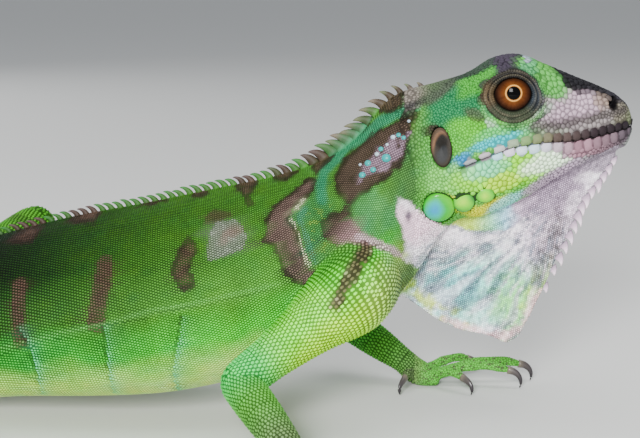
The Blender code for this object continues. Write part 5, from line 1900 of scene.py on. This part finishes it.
def tinted(name, roughness, grain=0.0006, depth=0.25, varied=0.12, coat=0.0, specular=0.5):
    """A finish whose colour is the mesh's tint, broken up by fine noise, with a fine bump.

    Grain is the noise's size in metres, and varied how much it changes the tint, as a share."""
    finish, tree, shader = node_material(name, roughness, specular)
    tint = tree.nodes.new("ShaderNodeAttribute")
    tint.attribute_name = "tint"
    place = tree.nodes.new("ShaderNodeTexCoord")
    fine = tree.nodes.new("ShaderNodeTexNoise")
    fine.inputs["Scale"].default_value = 1 / grain
    fine.inputs["Detail"].default_value = 3.0
    tree.links.new(place.outputs["Object"], fine.inputs["Vector"])
    lighter = tree.nodes.new("ShaderNodeMapRange")
    lighter.inputs["To Min"].default_value = 1 - varied
    lighter.inputs["To Max"].default_value = 1 + varied
    tree.links.new(fine.outputs["Fac"], lighter.inputs["Value"])
    blend = tree.nodes.new("ShaderNodeVectorMath")
    blend.operation = "MULTIPLY"
    tree.links.new(tint.outputs["Color"], blend.inputs[0])
    tree.links.new(lighter.outputs["Result"], blend.inputs[1])
    tree.links.new(blend.outputs["Vector"], shader.inputs["Base Color"])
    rise = tree.nodes.new("ShaderNodeBump")
    rise.inputs["Strength"].default_value = depth
    rise.inputs["Distance"].default_value = 0.0001
    tree.links.new(fine.outputs["Fac"], rise.inputs["Height"])
    tree.links.new(rise.outputs["Normal"], shader.inputs["Normal"])
    if coat:
        shader.inputs["Coat Weight"].default_value = coat
        shader.inputs["Coat Roughness"].default_value = 0.03
    return finish


# ---------------------------------------------------------------- separate pieces
def eye_piece(side, finish):
    """An eyeball with its iris painted in rings and rays about its axis."""
    name = "eye_left" if side > 0 else "eye_right"
    rings = np.concatenate([np.linspace(0.02, 0.9, 70), np.linspace(0.93, math.pi - 0.02, 20)])
    around = np.linspace(0, 2 * math.pi, 144, endpoint=False)
    axis = np.array((PUPIL_SHIFT[0] / EYE_RADIUS, side, PUPIL_SHIFT[1] / EYE_RADIUS))
    axis /= np.linalg.norm(axis)
    u = np.cross(axis, (0, 0, 1.0))
    u /= np.linalg.norm(u)
    v = np.cross(axis, u)
    spin = np.outer(np.cos(around), u) + np.outer(np.sin(around), v)
    centre = np.array(mirrored(EYE_PLACE, side))
    loops = [centre + EYE_RADIUS * (axis * math.cos(angle) + spin * math.sin(angle)) for angle in rings]
    points, faces = skinned(loops)
    radii = np.repeat(EYE_RADIUS * np.sin(np.minimum(rings, math.pi / 2)), len(around))
    tints = iris_colours(radii, np.tile(around, len(rings)))
    tints = np.concatenate([tints, tints[:1], tints[-1:]])
    if np.dot(np.cross(u, v), axis) < 0:
        faces = [face[::-1] for face in faces]
    piece = add_piece("eyeball_" + name[4:], points, faces, finish, "eye", tints)
    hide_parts(name)


def iris_colours(radii, turns):
    """Black pupil, thin gold ring, orange brown iris with fine rays, darker at the rim, with the lids' shadow
    painted over its upper part.
    """
    ray = noise(np.stack([np.cos(turns) * 9, np.sin(turns) * 9, radii * 0.8], axis=1), 1.0, 2)
    shade = noise(np.stack([np.cos(turns) * 2, np.sin(turns) * 2, radii], axis=1), 1.0, 4)
    pupil = PUPIL_RADIUS * (1 + 0.02 * np.cos(2 * turns))
    iris = gradient(radii, (
        (2.1, paint(112, 66, 30)), (2.8, paint(104, 57, 26)), (3.6, paint(80, 46, 28)),
        (4.3, paint(50, 30, 22)), (5.2, paint(26, 20, 18)),
    ))
    iris = iris * (0.86 * (1 + 0.22 * ray + 0.15 * shade))[:, None]
    # Painted shadow of the upper lid: the iris darker towards its rim at the top.
    iris = iris * (1 - 0.45 * ramp(radii, 2.6, 4.0) * ramp(-np.sin(turns), -0.1, 0.9))[:, None]
    gold = hill(radii - PUPIL_RADIUS - 0.28, 0.16)
    iris = mixed(iris, paint(214, 164, 110), gold * 0.95)
    return mixed(iris, np.full(3, 0.002), 1 - ramp(radii, pupil - 0.06, pupil + 0.08))


def dome_mesh(centre, out, up, half_wide, half_high, rise, dip=0.0, rings=12, count=48, sunk=0.6):
    """A low round plate: crowned, or hollowed by dip, with its rim sunk in the skin."""
    out = out / np.linalg.norm(out)
    up = up - out * np.dot(up, out)
    up /= np.linalg.norm(up)
    side = np.cross(up, out)
    around = np.linspace(0, 2 * math.pi, count, endpoint=False)
    loops = []
    for i in range(rings):
        share = 1 - i / rings
        high = rise * (1 - share**2) ** 0.6 - dip * (1 - share) ** 1.5
        wide, tall = half_wide * share, half_high * share
        flat = np.outer(np.cos(around) * wide, side) + np.outer(np.sin(around) * tall, up)
        loops.append(centre + flat + out * (high if i else -sunk))
    points = np.concatenate(loops + [(centre + out * (rise - dip))[None]])
    faces = []
    for i in range(rings - 1):
        for j in range(count):
            k = (j + 1) % count
            faces.append((i * count + j, i * count + k, (i + 1) * count + k, (i + 1) * count + j))
    last = (rings - 1) * count
    faces += [(last + j, last + (j + 1) % count, len(points) - 1) for j in range(count)]
    if np.dot(np.cross(side, up), out) < 0:
        faces = [face[::-1] for face in faces]
    return points, faces


def side_spot(surface, x, z, side):
    """Where a line across the animal at this x and z meets its skin."""
    spots, normals, _ = surface.hit([(x, side * 30.0, z)], [(0, -side, 0)])
    return spots[0], normals[0]


def shield_piece(side, finish):
    """The round plates under the ear."""
    name = "left" if side > 0 else "right"
    parts, tints = [], []
    for i, (x, z, wide, high, rise, stands_out, lean) in enumerate(JOWL_PLATES):
        centre = np.array((x, side * (SHIELD_PLACE[1] - 0.35 + stands_out), z))
        out = np.array((lean * 0.5, side * 1.0, -0.32))
        points, faces = dome_mesh(centre, out, np.array((0, 0, 1.0)), wide, high, rise)
        parts.append((points, faces))
        tints.append(shield_colours(points, x, z, wide, i))
    piece = add_piece("shields_" + name, *joined(parts), finish, "shield", np.concatenate(tints))
    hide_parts("shield_" + name)


def ear_piece(side, finish):
    """An ear drum, hollowed in the middle."""
    name = "left" if side > 0 else "right"
    centre = np.array((EAR_PLACE[0], side * (EAR_PLACE[1] - 0.2), EAR_PLACE[2]))
    out = np.array((-0.10, side * 1.0, 0.0))
    points, faces = dome_mesh(
        centre, out, np.array((-EAR_LEAN, 0, 1.0)), EAR_HALF_WIDTH + 0.15, EAR_HALF_HEIGHT + 0.15, 0.35, 0.75,
    )
    drum = add_piece("ear_drum_" + name, points, faces, finish, "eardrum", ear_colours(points, centre))
    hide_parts("eardrum_" + name)


def ear_colours(points, centre):
    """Dark brown, tan along the upper rear of the rim."""
    run, rise = points[:, 0] - centre[0], points[:, 2] - centre[2]
    gone = np.hypot(run / EAR_HALF_WIDTH, rise / EAR_HALF_HEIGHT)
    out = mixed(flood(paint(52, 46, 38), points), paint(30, 26, 20), spot(points, 19.6, 76.5, 1.6, 2.2, 0.4))
    out = mixed(out, paint(50, 54, 58), spot(points, 20.2, 73.0, 1.4, 2.0, 0.4) * 0.6)
    rim = ramp(gone + 0.1 * noise(points, 1.2, 36), 0.55, 0.85)
    out = mixed(out, paint(122, 88, 62), rim * ramp(rise - 1.5 * run, 0, 4))
    return mixed(out, paint(58, 50, 40), ramp(gone, 0.78, 0.92) * 0.8)


def shield_colours(points, x, z, wide, index):
    """Cyan in the middle of the first plate, teal and green round it; the next plates are lime."""
    run, up = (points[:, 0] - x) / wide, (points[:, 2] - z) / wide
    gone = np.hypot(run, up)
    uneven = 0.12 * noise(points, 1.8, 2)
    first = gradient(np.hypot(run + 0.25, up + 0.15) + uneven, (
        (0.1, paint(0, 170, 208)), (0.45, paint(16, 188, 168)), (0.75, paint(72, 192, 92)),
        (1.1, paint(122, 206, 66)),
    ))
    other = gradient(gone + 2 * uneven, (
        (0.1, paint(200, 244, 120)), (0.6, paint(146, 222, 112)), (1, paint(84, 160, 80)),
    ))
    out = (first if index == 0 else other) * 0.70
    return mixed(out, paint(20, 28, 22), ramp(gone, 0.93, 1.02) * 0.9)


def claw_loft(tip, way, last, radius=CLAW_RADIUS, rings=14, count=12):
    """A claw that leaves the digit's end, curves over and comes down to a point at the floor."""
    base = Vector(tip) - last * 0.5
    spots, sizes = [], []
    for i in range(rings):
        share = i / (rings - 1)
        turn = math.radians(5 + 115 * share)
        spots.append(base.copy())
        high = radius * (1 - share) ** 0.75
        sizes.append((high * 0.72 + 0.08, high + 0.08))
        start = max(0.0, 1 - share * 4)
        ahead = last * start + (way * math.cos(turn) - Vector((0, 0, 1)) * math.sin(turn)) * (1 - start)
        base += ahead * (CLAW_LENGTH + 0.8) / (rings - 1)
    knee = rings // 4
    top, low = spots[knee].z, spots[-1].z
    fit = (top - CLAW_TIP_HEIGHT) / max(top - low, 0.1)
    spots = [(s.x, s.y, s.z if i < knee else top + (s.z - top) * fit) for i, s in enumerate(spots)]
    points, faces = skinned(tube(spots, sizes, count))
    share = np.repeat(np.linspace(0, 1, rings), count)
    share = np.concatenate([share, [0.0, 1.0]])
    tints = gradient(share, (
        (0, paint(120, 112, 96)), (0.2, paint(84, 76, 74)), (0.6, paint(58, 52, 56)), (1, paint(34, 32, 36)),
    ))
    return points, faces, tints


def claw_pieces(finish):
    """The five claws of each foot, as one piece a foot."""
    for kind, name, _, _, _, digits in every_leg():
        parts, tints = [], []
        for line, way in digits:
            points, faces, tint = claw_loft(line[-1], way, (line[-1] - line[-2]).normalized())
            points[:, 2] = np.maximum(points[:, 2], FLOOR_CLEAR)
            parts.append((points, faces))
            tints.append(tint)
        piece = add_piece(f"claws_{kind}_{name}", *joined(parts), finish, "claw", np.concatenate(tints))
        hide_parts(*[f"claw_{kind}_{name}_{i}" for i in range(1, 6)])


def blade(root, out, run, length, width, thick, lean, hook=1.0, taper=0.8, rows=8):
    """A spine: a flat blade that leans back by so many degrees, and hooks towards its point."""
    root, out, run = np.asarray(root, float), np.asarray(out), np.asarray(run)
    side = np.cross(out, run)
    around = np.linspace(0, 2 * math.pi, 8, endpoint=False)
    loops, shares = [], []
    centre = root - out * 0.4
    for i in range(rows):
        share = i / (rows - 1)
        bend = math.radians(lean * (1 + hook * (share - 0.5)))
        way = out * math.cos(bend) - run * math.sin(bend)
        across = out * math.sin(bend) + run * math.cos(bend)
        wide = width * 0.5 * (1 - share) ** taper + 0.07
        flat = thick * 0.5 * (1 - share) ** 0.6 + 0.05
        loops.append(centre + np.outer(np.cos(around) * wide, across) + np.outer(np.sin(around) * flat, side))
        shares += [share] * 8
        centre = centre + way * (length + 0.4) / (rows - 1)
    points, faces = skinned(loops)
    return points, faces, np.array(shares + [0.0, 1.0])


# Where a crest spine stands, its length, and how far it leans back in degrees.
CREST_SIZES = (
    (19.0, 1.2, 28), (13.0, 3.6, 28), (5.0, 5.4, 28), (-5.0, 5.0, 34),
    (-13.0, 3.4, 41), (-25.0, 3.0, 46),
)
LAST_LEAN = 46            # of the crest's spines from the vent back
FINE_CREST_ON_TAIL = 0.72
CREST_PITCH = 2.4
CREST_PITCH_ON_NECK = 2.8
NECK_CREST_END = -8.0
CREST_PITCH_ON_TAIL = 2.0


def crest_size(along):
    """Length and lean of a crest spine at this distance from the snout."""
    places = [along_at(row[0]) for row in CREST_SIZES] + [VENT, crest_end(), ALONG[-1]]
    lengths = [row[1] for row in CREST_SIZES] + [2.4, 1.4, 0.4]
    leans = [row[2] for row in CREST_SIZES] + [LAST_LEAN] * 3
    return float(np.interp(along, places, lengths)), float(np.interp(along, places, leans))


def crest_end():
    return VENT + TAIL_LENGTH * CREST_ON_TAIL


def crest_pieces(finish):
    """The crest down the back, and the finer one on down the tail."""
    parts, tints = [], []
    at = along_at(CREST_SIZES[0][0])
    draw = np.random.default_rng(11)
    while at < VENT + TAIL_LENGTH * FINE_CREST_ON_TAIL:
        uneven = draw.uniform(-1, 1, 4)
        high, lean = crest_size(at)
        lean += 5 + 4 * uneven[1]
        top = body_points([at], np.array([math.pi / 2]), -COAT)[0]
        ahead = body_points([at - 1.0], np.array([math.pi / 2]), -COAT)[0]
        stretch = np.linalg.norm(ahead - top)
        run = (ahead - top) / stretch
        left = -np.cross(run, (0, 0, 1.0))
        left /= np.linalg.norm(left)
        out = np.cross(run, left) + left * 0.05 * uneven[3]
        length = high * (1 + 0.10 * uneven[0]) + COAT
        thick = float(np.interp(high, (2.4, 5.4), (0.75, 1.25)))
        wide = float(np.interp(high, (2.4, 5.4), (1.6, 3.9)))
        points, faces, share = blade(top, out, run, length, wide, thick, lean, hook=1.7, taper=0.85)
        parts.append((points, faces))
        tints.append(crest_colours(points, share, at, top, 0.5 + 0.5 * uneven[2]))
        pitch = CREST_PITCH if at < VENT else CREST_PITCH_ON_TAIL
        at += (CREST_PITCH_ON_NECK if at < along_at(NECK_CREST_END) else pitch) / stretch
    add_piece("crest", *joined(parts), finish, "skin", np.concatenate(tints))


def crest_colours(points, share, at, top, warmth):
    """Green spines pale at their points, mauve ones over the brown saddles, cream on the neck."""
    foot = top[None] - (0, 0, 0.8)
    skin = body_colours(foot) if at < VENT else tail_colours(foot, np.full(1, at))
    skin = np.repeat(skin, len(points), axis=0)
    brown = ramp(skin[:, 0] / skin[:, 1], 0.7, 0.95)
    neck = np.full(len(points), float(ramp(np.array(top[0]), -12, -3)))
    tip = mixed(flood(paint(62, 116, 60), points), paint(88, 72, 70), brown)
    cream = mixed(flood(paint(96, 108, 76), points), paint(118, 102, 92), np.full(len(points), warmth))
    tip = mixed(tip, cream, neck)
    middle = mixed(flood(paint(54, 98, 40), points), paint(70, 54, 46), brown)
    middle = mixed(middle, paint(70, 58, 46), neck * 0.75)
    out = mixed(skin, middle, ramp(share, 0.0, 0.3) * 0.8)
    return mixed(out, tip, ramp(share, 0.4, 0.85))


def dewlap_spine_piece(finish):
    """The row of spines down the dewlap's front edge, largest in the middle."""
    parts, tints = [], []
    for i in range(DEWLAP_SPINES):
        share = 0.56 + 0.425 * (i / (DEWLAP_SPINES - 1)) ** 0.78
        here, on = dewlap_edge(share)[0], dewlap_edge(share + 0.01)[0]
        run = np.array((on[0] - here[0], 0, on[1] - here[1]))
        run /= np.linalg.norm(run)
        out = np.array((run[2], 0, -run[0]))
        size = 0.9 + 2.5 * math.sin(math.pi * (i + 1.5) / (DEWLAP_SPINES + 2)) ** 0.8
        size *= (1.0, 0.86, 1.08, 0.90)[i % 4]
        points, faces, part = blade(
            (here[0], 0, here[1]), out, run, size, *DEWLAP_SPINE_SIZES, hook=1.1, taper=1.15,
        )
        parts.append((points, faces))
        tints.append(gradient(part, (
            (0, paint(150, 134, 150)), (0.3, paint(200, 180, 196)), (0.7, paint(234, 220, 230)),
            (1, paint(220, 206, 210)),
        )))
    add_piece("dewlap_spines", *joined(parts), finish, "dewlap", np.concatenate(tints))


# Round tubercles on the side of the neck: x, z, radius, and whether it is white.
TUBERCLES = (
    (7.5, 76.8, 0.75, 1), (8.9, 77.4, 0.75, 0), (10.2, 76.8, 0.7, 0), (4.4, 73.7, 0.8, 0),
    (3.4, 72.4, 0.7, 1), (5.8, 71.6, 1.35, 0), (1.1, 70.1, 1.0, 0), (2.5, 68.6, 0.9, 0),
    (-0.3, 67.2, 1.0, 0), (11.5, 80.9, 0.5, 1), (6.0, 74.9, 0.5, 1), (-0.9, 69.6, 0.5, 1),
)


def tubercle_piece(surface, finish):
    """Round tubercles, white or teal, on both sides of the neck."""
    parts, tints = [], []
    for side in (1, -1):
        for x, z, radius, white in TUBERCLES:
            spot_on, normal = side_spot(surface, x, z, side)
            points, faces = dome_mesh(
                spot_on, normal, np.array((0, 0, 1.0)), radius, radius * 0.9, radius * 0.6,
                rings=5, count=14, sunk=0.25,
            )
            parts.append((points, faces))
            colour = paint(164, 180, 188) if white else paint(34, 148, 146)
            tints.append(flood(colour, points))
    add_piece("tubercles", *joined(parts), finish, "skin", np.concatenate(tints))


# ---------------------------------------------------------------- assembling
FLESH = (
    ["head", "lower_jaw", "neck", "trunk_front", "trunk_rear", "dewlap"]
    + [f"tail_{i}" for i in range(1, 7)]
    + [f"{part}_{side}" for part in ("upper_arm", "forearm", "hand", "thigh", "shank", "foot")
       for side in ("left", "right")]
)


def piece_name(seeds):
    """The scale mesh that each scale belongs to."""
    part, run = seeds["part"], seeds["run"]
    side = np.where(seeds["place"][:, 1] > 0, "left", "right")
    out = np.char.add("scales_", part)
    cuts = (along_at(-8), along_at(-42), along_at(-78), VENT)
    lengths = np.char.add("scales_body_", (np.searchsorted(cuts, run) + 1).astype(str))
    out = np.where(part == "body", lengths, out)
    out = np.where(part == "head", np.char.add("scales_head_", side), out)
    return out


def region_of_scales(seeds, normals, colours, roots, tree):
    """Points, faces, tints, places on the map and root of each point, for the scales of one region."""
    unwrap = root_map(seeds)
    columns, base = [], 0
    for kind, corners in CORNERS.items():
        like = seeds["kind"] == kind
        if not like.any():
            continue
        group = chosen(seeds, like)
        ahead, left, _ = frames(normals[like], group["way"])
        limit = group["pitch"] * (1.0 if kind == "plate" else 0.75)
        radii = cell_radii(group["place"], ahead, left, roots, tree, corners, limit)
        lips = group["pitch"] == LIP_PITCH
        radii[lips] = lip_radii(group["place"][lips], corners)
        style = style_of(group["part"][0])
        points, faces, painted_light, spread, size = scale_shapes(group, normals[like], radii, kind, style)
        # Each scale's colour times its painted light and shade.
        columns.append((
            points, faces + base, np.repeat(colours[like], size, axis=0) * painted_light[:, None],
            np.repeat(unwrap[like], size, axis=0) + spread * MAP_PATCH_HALF,
            np.repeat(group["place"], size, axis=0),
        ))
        base += len(points)
    return [np.concatenate(column) for column in zip(*columns)]


def scale_pieces(surface, seeds, colours, finishes):
    """Every scale as solid mesh, in one joined mesh for each region."""
    roots = seeds["place"]
    tree = kd_tree(roots)
    places, normals, _ = surface.nearest(roots)
    seeds["place"] = places
    names = piece_name(seeds)
    for name in np.unique(names):
        mine = names == name
        points, faces, tints, maps, owners = region_of_scales(
            chosen(seeds, mine), normals[mine], colours[mine], roots, tree,
        )
        if name.startswith("scales_head"):
            points = mouth_closed(points, owners)
        points[:, 2] = np.maximum(points[:, 2], FLOOR_CLEAR)
        add_scales(name, points, faces, tints, maps, finishes)


def root_map(seeds):
    """Each scale's place on an unwrap of its region: along it one way, round it the other."""
    def spread(value):
        return 0.02 + 0.96 * (value - value.min()) / max(np.ptp(value), 1e-6)
    return np.stack([spread(seeds["run"]), spread(seeds["turn"])], axis=1)


def add_scales(name, points, faces, tints, maps, finishes):
    """A region's scales as one mesh, with each scale's place on the map named OFBake."""
    mesh = bpy.data.meshes.new(name)
    mesh.vertices.add(len(points))
    mesh.vertices.foreach_set("co", to_world(points).astype(np.float32).ravel())
    mesh.loops.add(len(faces) * 3)
    mesh.loops.foreach_set("vertex_index", faces.astype(np.int32).ravel())
    mesh.polygons.add(len(faces))
    mesh.polygons.foreach_set("loop_start", np.arange(0, len(faces) * 3, 3, dtype=np.int32))
    mesh.polygons.foreach_set("use_smooth", np.ones(len(faces), bool))
    mesh.update(calc_edges=True)
    tint_points(mesh, np.clip(tints, 0.002, 1))
    uv = mesh.uv_layers.new(name="OFBake")
    uv.data.foreach_set("uv", maps.astype(np.float32)[faces.ravel()].ravel())
    slot = "dewlap" if name == "scales_dewlap" else "skin"
    shown_piece(name, mesh, finishes[slot], slot)


def skin_piece(surface, seeds, colours, finish):
    """The skin, with the colours of the scales on it but darker, as painted shade in the gaps between the
    scales.
    """
    owner = nearest_index(kd_tree(seeds["place"]), surface.points)
    # The skin takes each scale's colour times a share: painted shade in the gaps between the scales.
    shares = np.array([style_of(part)["skin"] for part in seeds["part"]])
    shares = shares + (0.50 - shares) * faint_shade(seeds)
    shares = np.where(seeds["part"] == "dewlap", shares - 0.62 * dewlap_gap_shade(seeds["place"]), shares)
    shares = shares + (0.55 - shares) * on_root(seeds["place"], seeds["part"])
    shares[seeds["pitch"] == LIP_PITCH] = 0.58
    tints = colours[owner] * shares[owner][:, None]
    on_lids = (surface.points[:, 0] > 16) & (from_lids(surface.points) < 3.8)
    tints = np.where(on_lids[:, None], head_colours(surface.points) * 0.95, tints)
    p = folded_side(surface.points)
    for x, z, wide, high, *_ in JOWL_PLATES:
        gone = (np.hypot((p[:, 0] - x) / wide, (p[:, 2] - z) / high) - 1) * wide
        tints = mixed(tints, paint(44, 70, 38), (1 - ramp(gone, 0.15, 0.42)) * (p[:, 1] > 8))
    # Painted shade inside the nostrils: near black in their hollows.
    hole = from_nostril(p)
    tints = mixed(tints, paint(18, 14, 18), (1 - ramp(hole, 0.75, 1.0)) * (p[:, 1] > 3))
    # Painted shade along the seam of the closed mouth.
    lips, _ = from_line(p, MOUTH_LINE)
    tints = mixed(tints, paint(30, 26, 26), hill(lips, 0.35) * (p[:, 0] > 24) * 0.85)
    faces = surface.faces.tolist()
    piece = add_piece("skin", surface.points, faces, finish, "skin", np.clip(tints, 0.002, 1))
    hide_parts(*FLESH)


def area_light(name, place, aim, power, size):
    """A square light, with its power in watts and its width in metres."""
    data = bpy.data.lights.new(name, "AREA")
    data.energy = power
    data.size = size
    obj = bpy.data.objects.new(name, data)
    obj.location = place
    obj.rotation_euler = (Vector(aim) - Vector(place)).to_track_quat("-Z", "Y").to_euler()
    bpy.context.scene.collection.objects.link(obj)


CAMERA_ELEVATION = 9.0    # degrees
CAMERA_YAW = 4.0          # degrees
CAMERA_DISTANCE = 0.420   # metres
CAMERA_AIM = (-12.0, 0.0, 53.7)
CAMERA_LENS = 88.9
KEY_FROM = (17.0, -7.5)    # height and turn, in degrees, of the main light as the eye sees it


def looking(elevation, yaw):
    """The way a camera at this height and turn looks."""
    low, turn = math.radians(elevation), math.radians(yaw)
    return Vector((-math.sin(turn) * math.cos(low), math.cos(turn) * math.cos(low), -math.sin(low)))


def set_stage():
    """Camera, floor, world and lights."""
    aim = Vector(to_world(CAMERA_AIM))
    way = looking(CAMERA_ELEVATION, CAMERA_YAW)
    data = bpy.data.cameras.new("camera")
    data.lens = CAMERA_LENS
    data.clip_start = 0.01
    camera = bpy.data.objects.new("camera", data)
    camera.location = aim - way * CAMERA_DISTANCE
    camera.rotation_euler = way.to_track_quat("-Z", "Y").to_euler()
    bpy.context.scene.collection.objects.link(camera)
    bpy.context.scene.camera = camera

    bpy.ops.mesh.primitive_plane_add(size=30.0, location=(0, 0, 0))
    floor = bpy.context.object
    floor.name = "floor"
    finish, _, shader = node_material("floor", 0.9, 0.2)
    shader.inputs["Base Color"].default_value = (0.62, 0.62, 0.60, 1)
    floor.data.materials.append(finish)

    world = bpy.data.worlds.new("studio")
    bpy.context.scene.world = world
    world.use_nodes = True
    sky = world.node_tree.nodes["Background"]
    sky.inputs["Color"].default_value = (0.80, 0.84, 0.90, 1)
    sky.inputs["Strength"].default_value = 0.62
    eye = Vector(to_world((EYE_PLACE[0], -EYE_PLACE[1], EYE_PLACE[2])))
    area_light("key", eye - looking(*KEY_FROM) * 1.0, aim, 25.0, 0.26)
    area_light("top", aim + Vector((0.05, -0.15, 1.1)), aim, 9.0, 0.9)
    area_light("fill", aim + Vector((-0.9, 0.9, 0.5)), aim, 6.0, 0.8)


def all_seeds(surface):
    """The scales' seeds over the whole animal."""
    sets = [head_seeds(surface, DRAW), dewlap_seeds(surface)]
    sets += [settled(surface, leg_seeds(*leg), SETTLED_WITHIN) for leg in every_leg()]
    body = settled(surface, body_seeds(along_at(FIRST_RING), ALONG[-1] - 1.0), SETTLED_WITHIN)
    sets.append(chosen(body, ~on_dewlap(body["place"], 0.3)))
    return filled(surface, thinned(stacked(sets)), DRAW)


def main():
    surface = Surface(*make_skin())
    seeds = all_seeds(surface)
    colours = seed_colours(seeds, DRAW)
    skin_piece(surface, seeds, colours, tinted("skin between the scales", 0.6, specular=0.05))
    scale_pieces(surface, seeds, colours, {
        "skin": tinted("scaly hide", 0.45, specular=0.07),
        "dewlap": tinted("dewlap hide", 0.5, varied=0.10, specular=0.16),
    })
    wet = tinted("wet eye", 0.3, grain=0.0004, depth=0.0, varied=0.06, coat=0.07, specular=0.0)
    plate = tinted("shield plate", 0.22, grain=0.0012, depth=0.1, coat=0.22, specular=0.15)
    drum = tinted("ear drum", 0.6, grain=0.0004, depth=0.3, varied=0.25, specular=0.15)
    for side in (1, -1):
        eye_piece(side, wet)
        shield_piece(side, plate)
        ear_piece(side, drum)
    claw_pieces(tinted("claw horn", 0.3, grain=0.0008, depth=0.2))
    crest_pieces(tinted("spine horn", 0.5, specular=0.12))
    dewlap_spine_piece(tinted("pale spine horn", 0.45, specular=0.2))
    tubercle_piece(surface, tinted("tubercle", 0.3, specular=0.3))
    set_stage()


main()
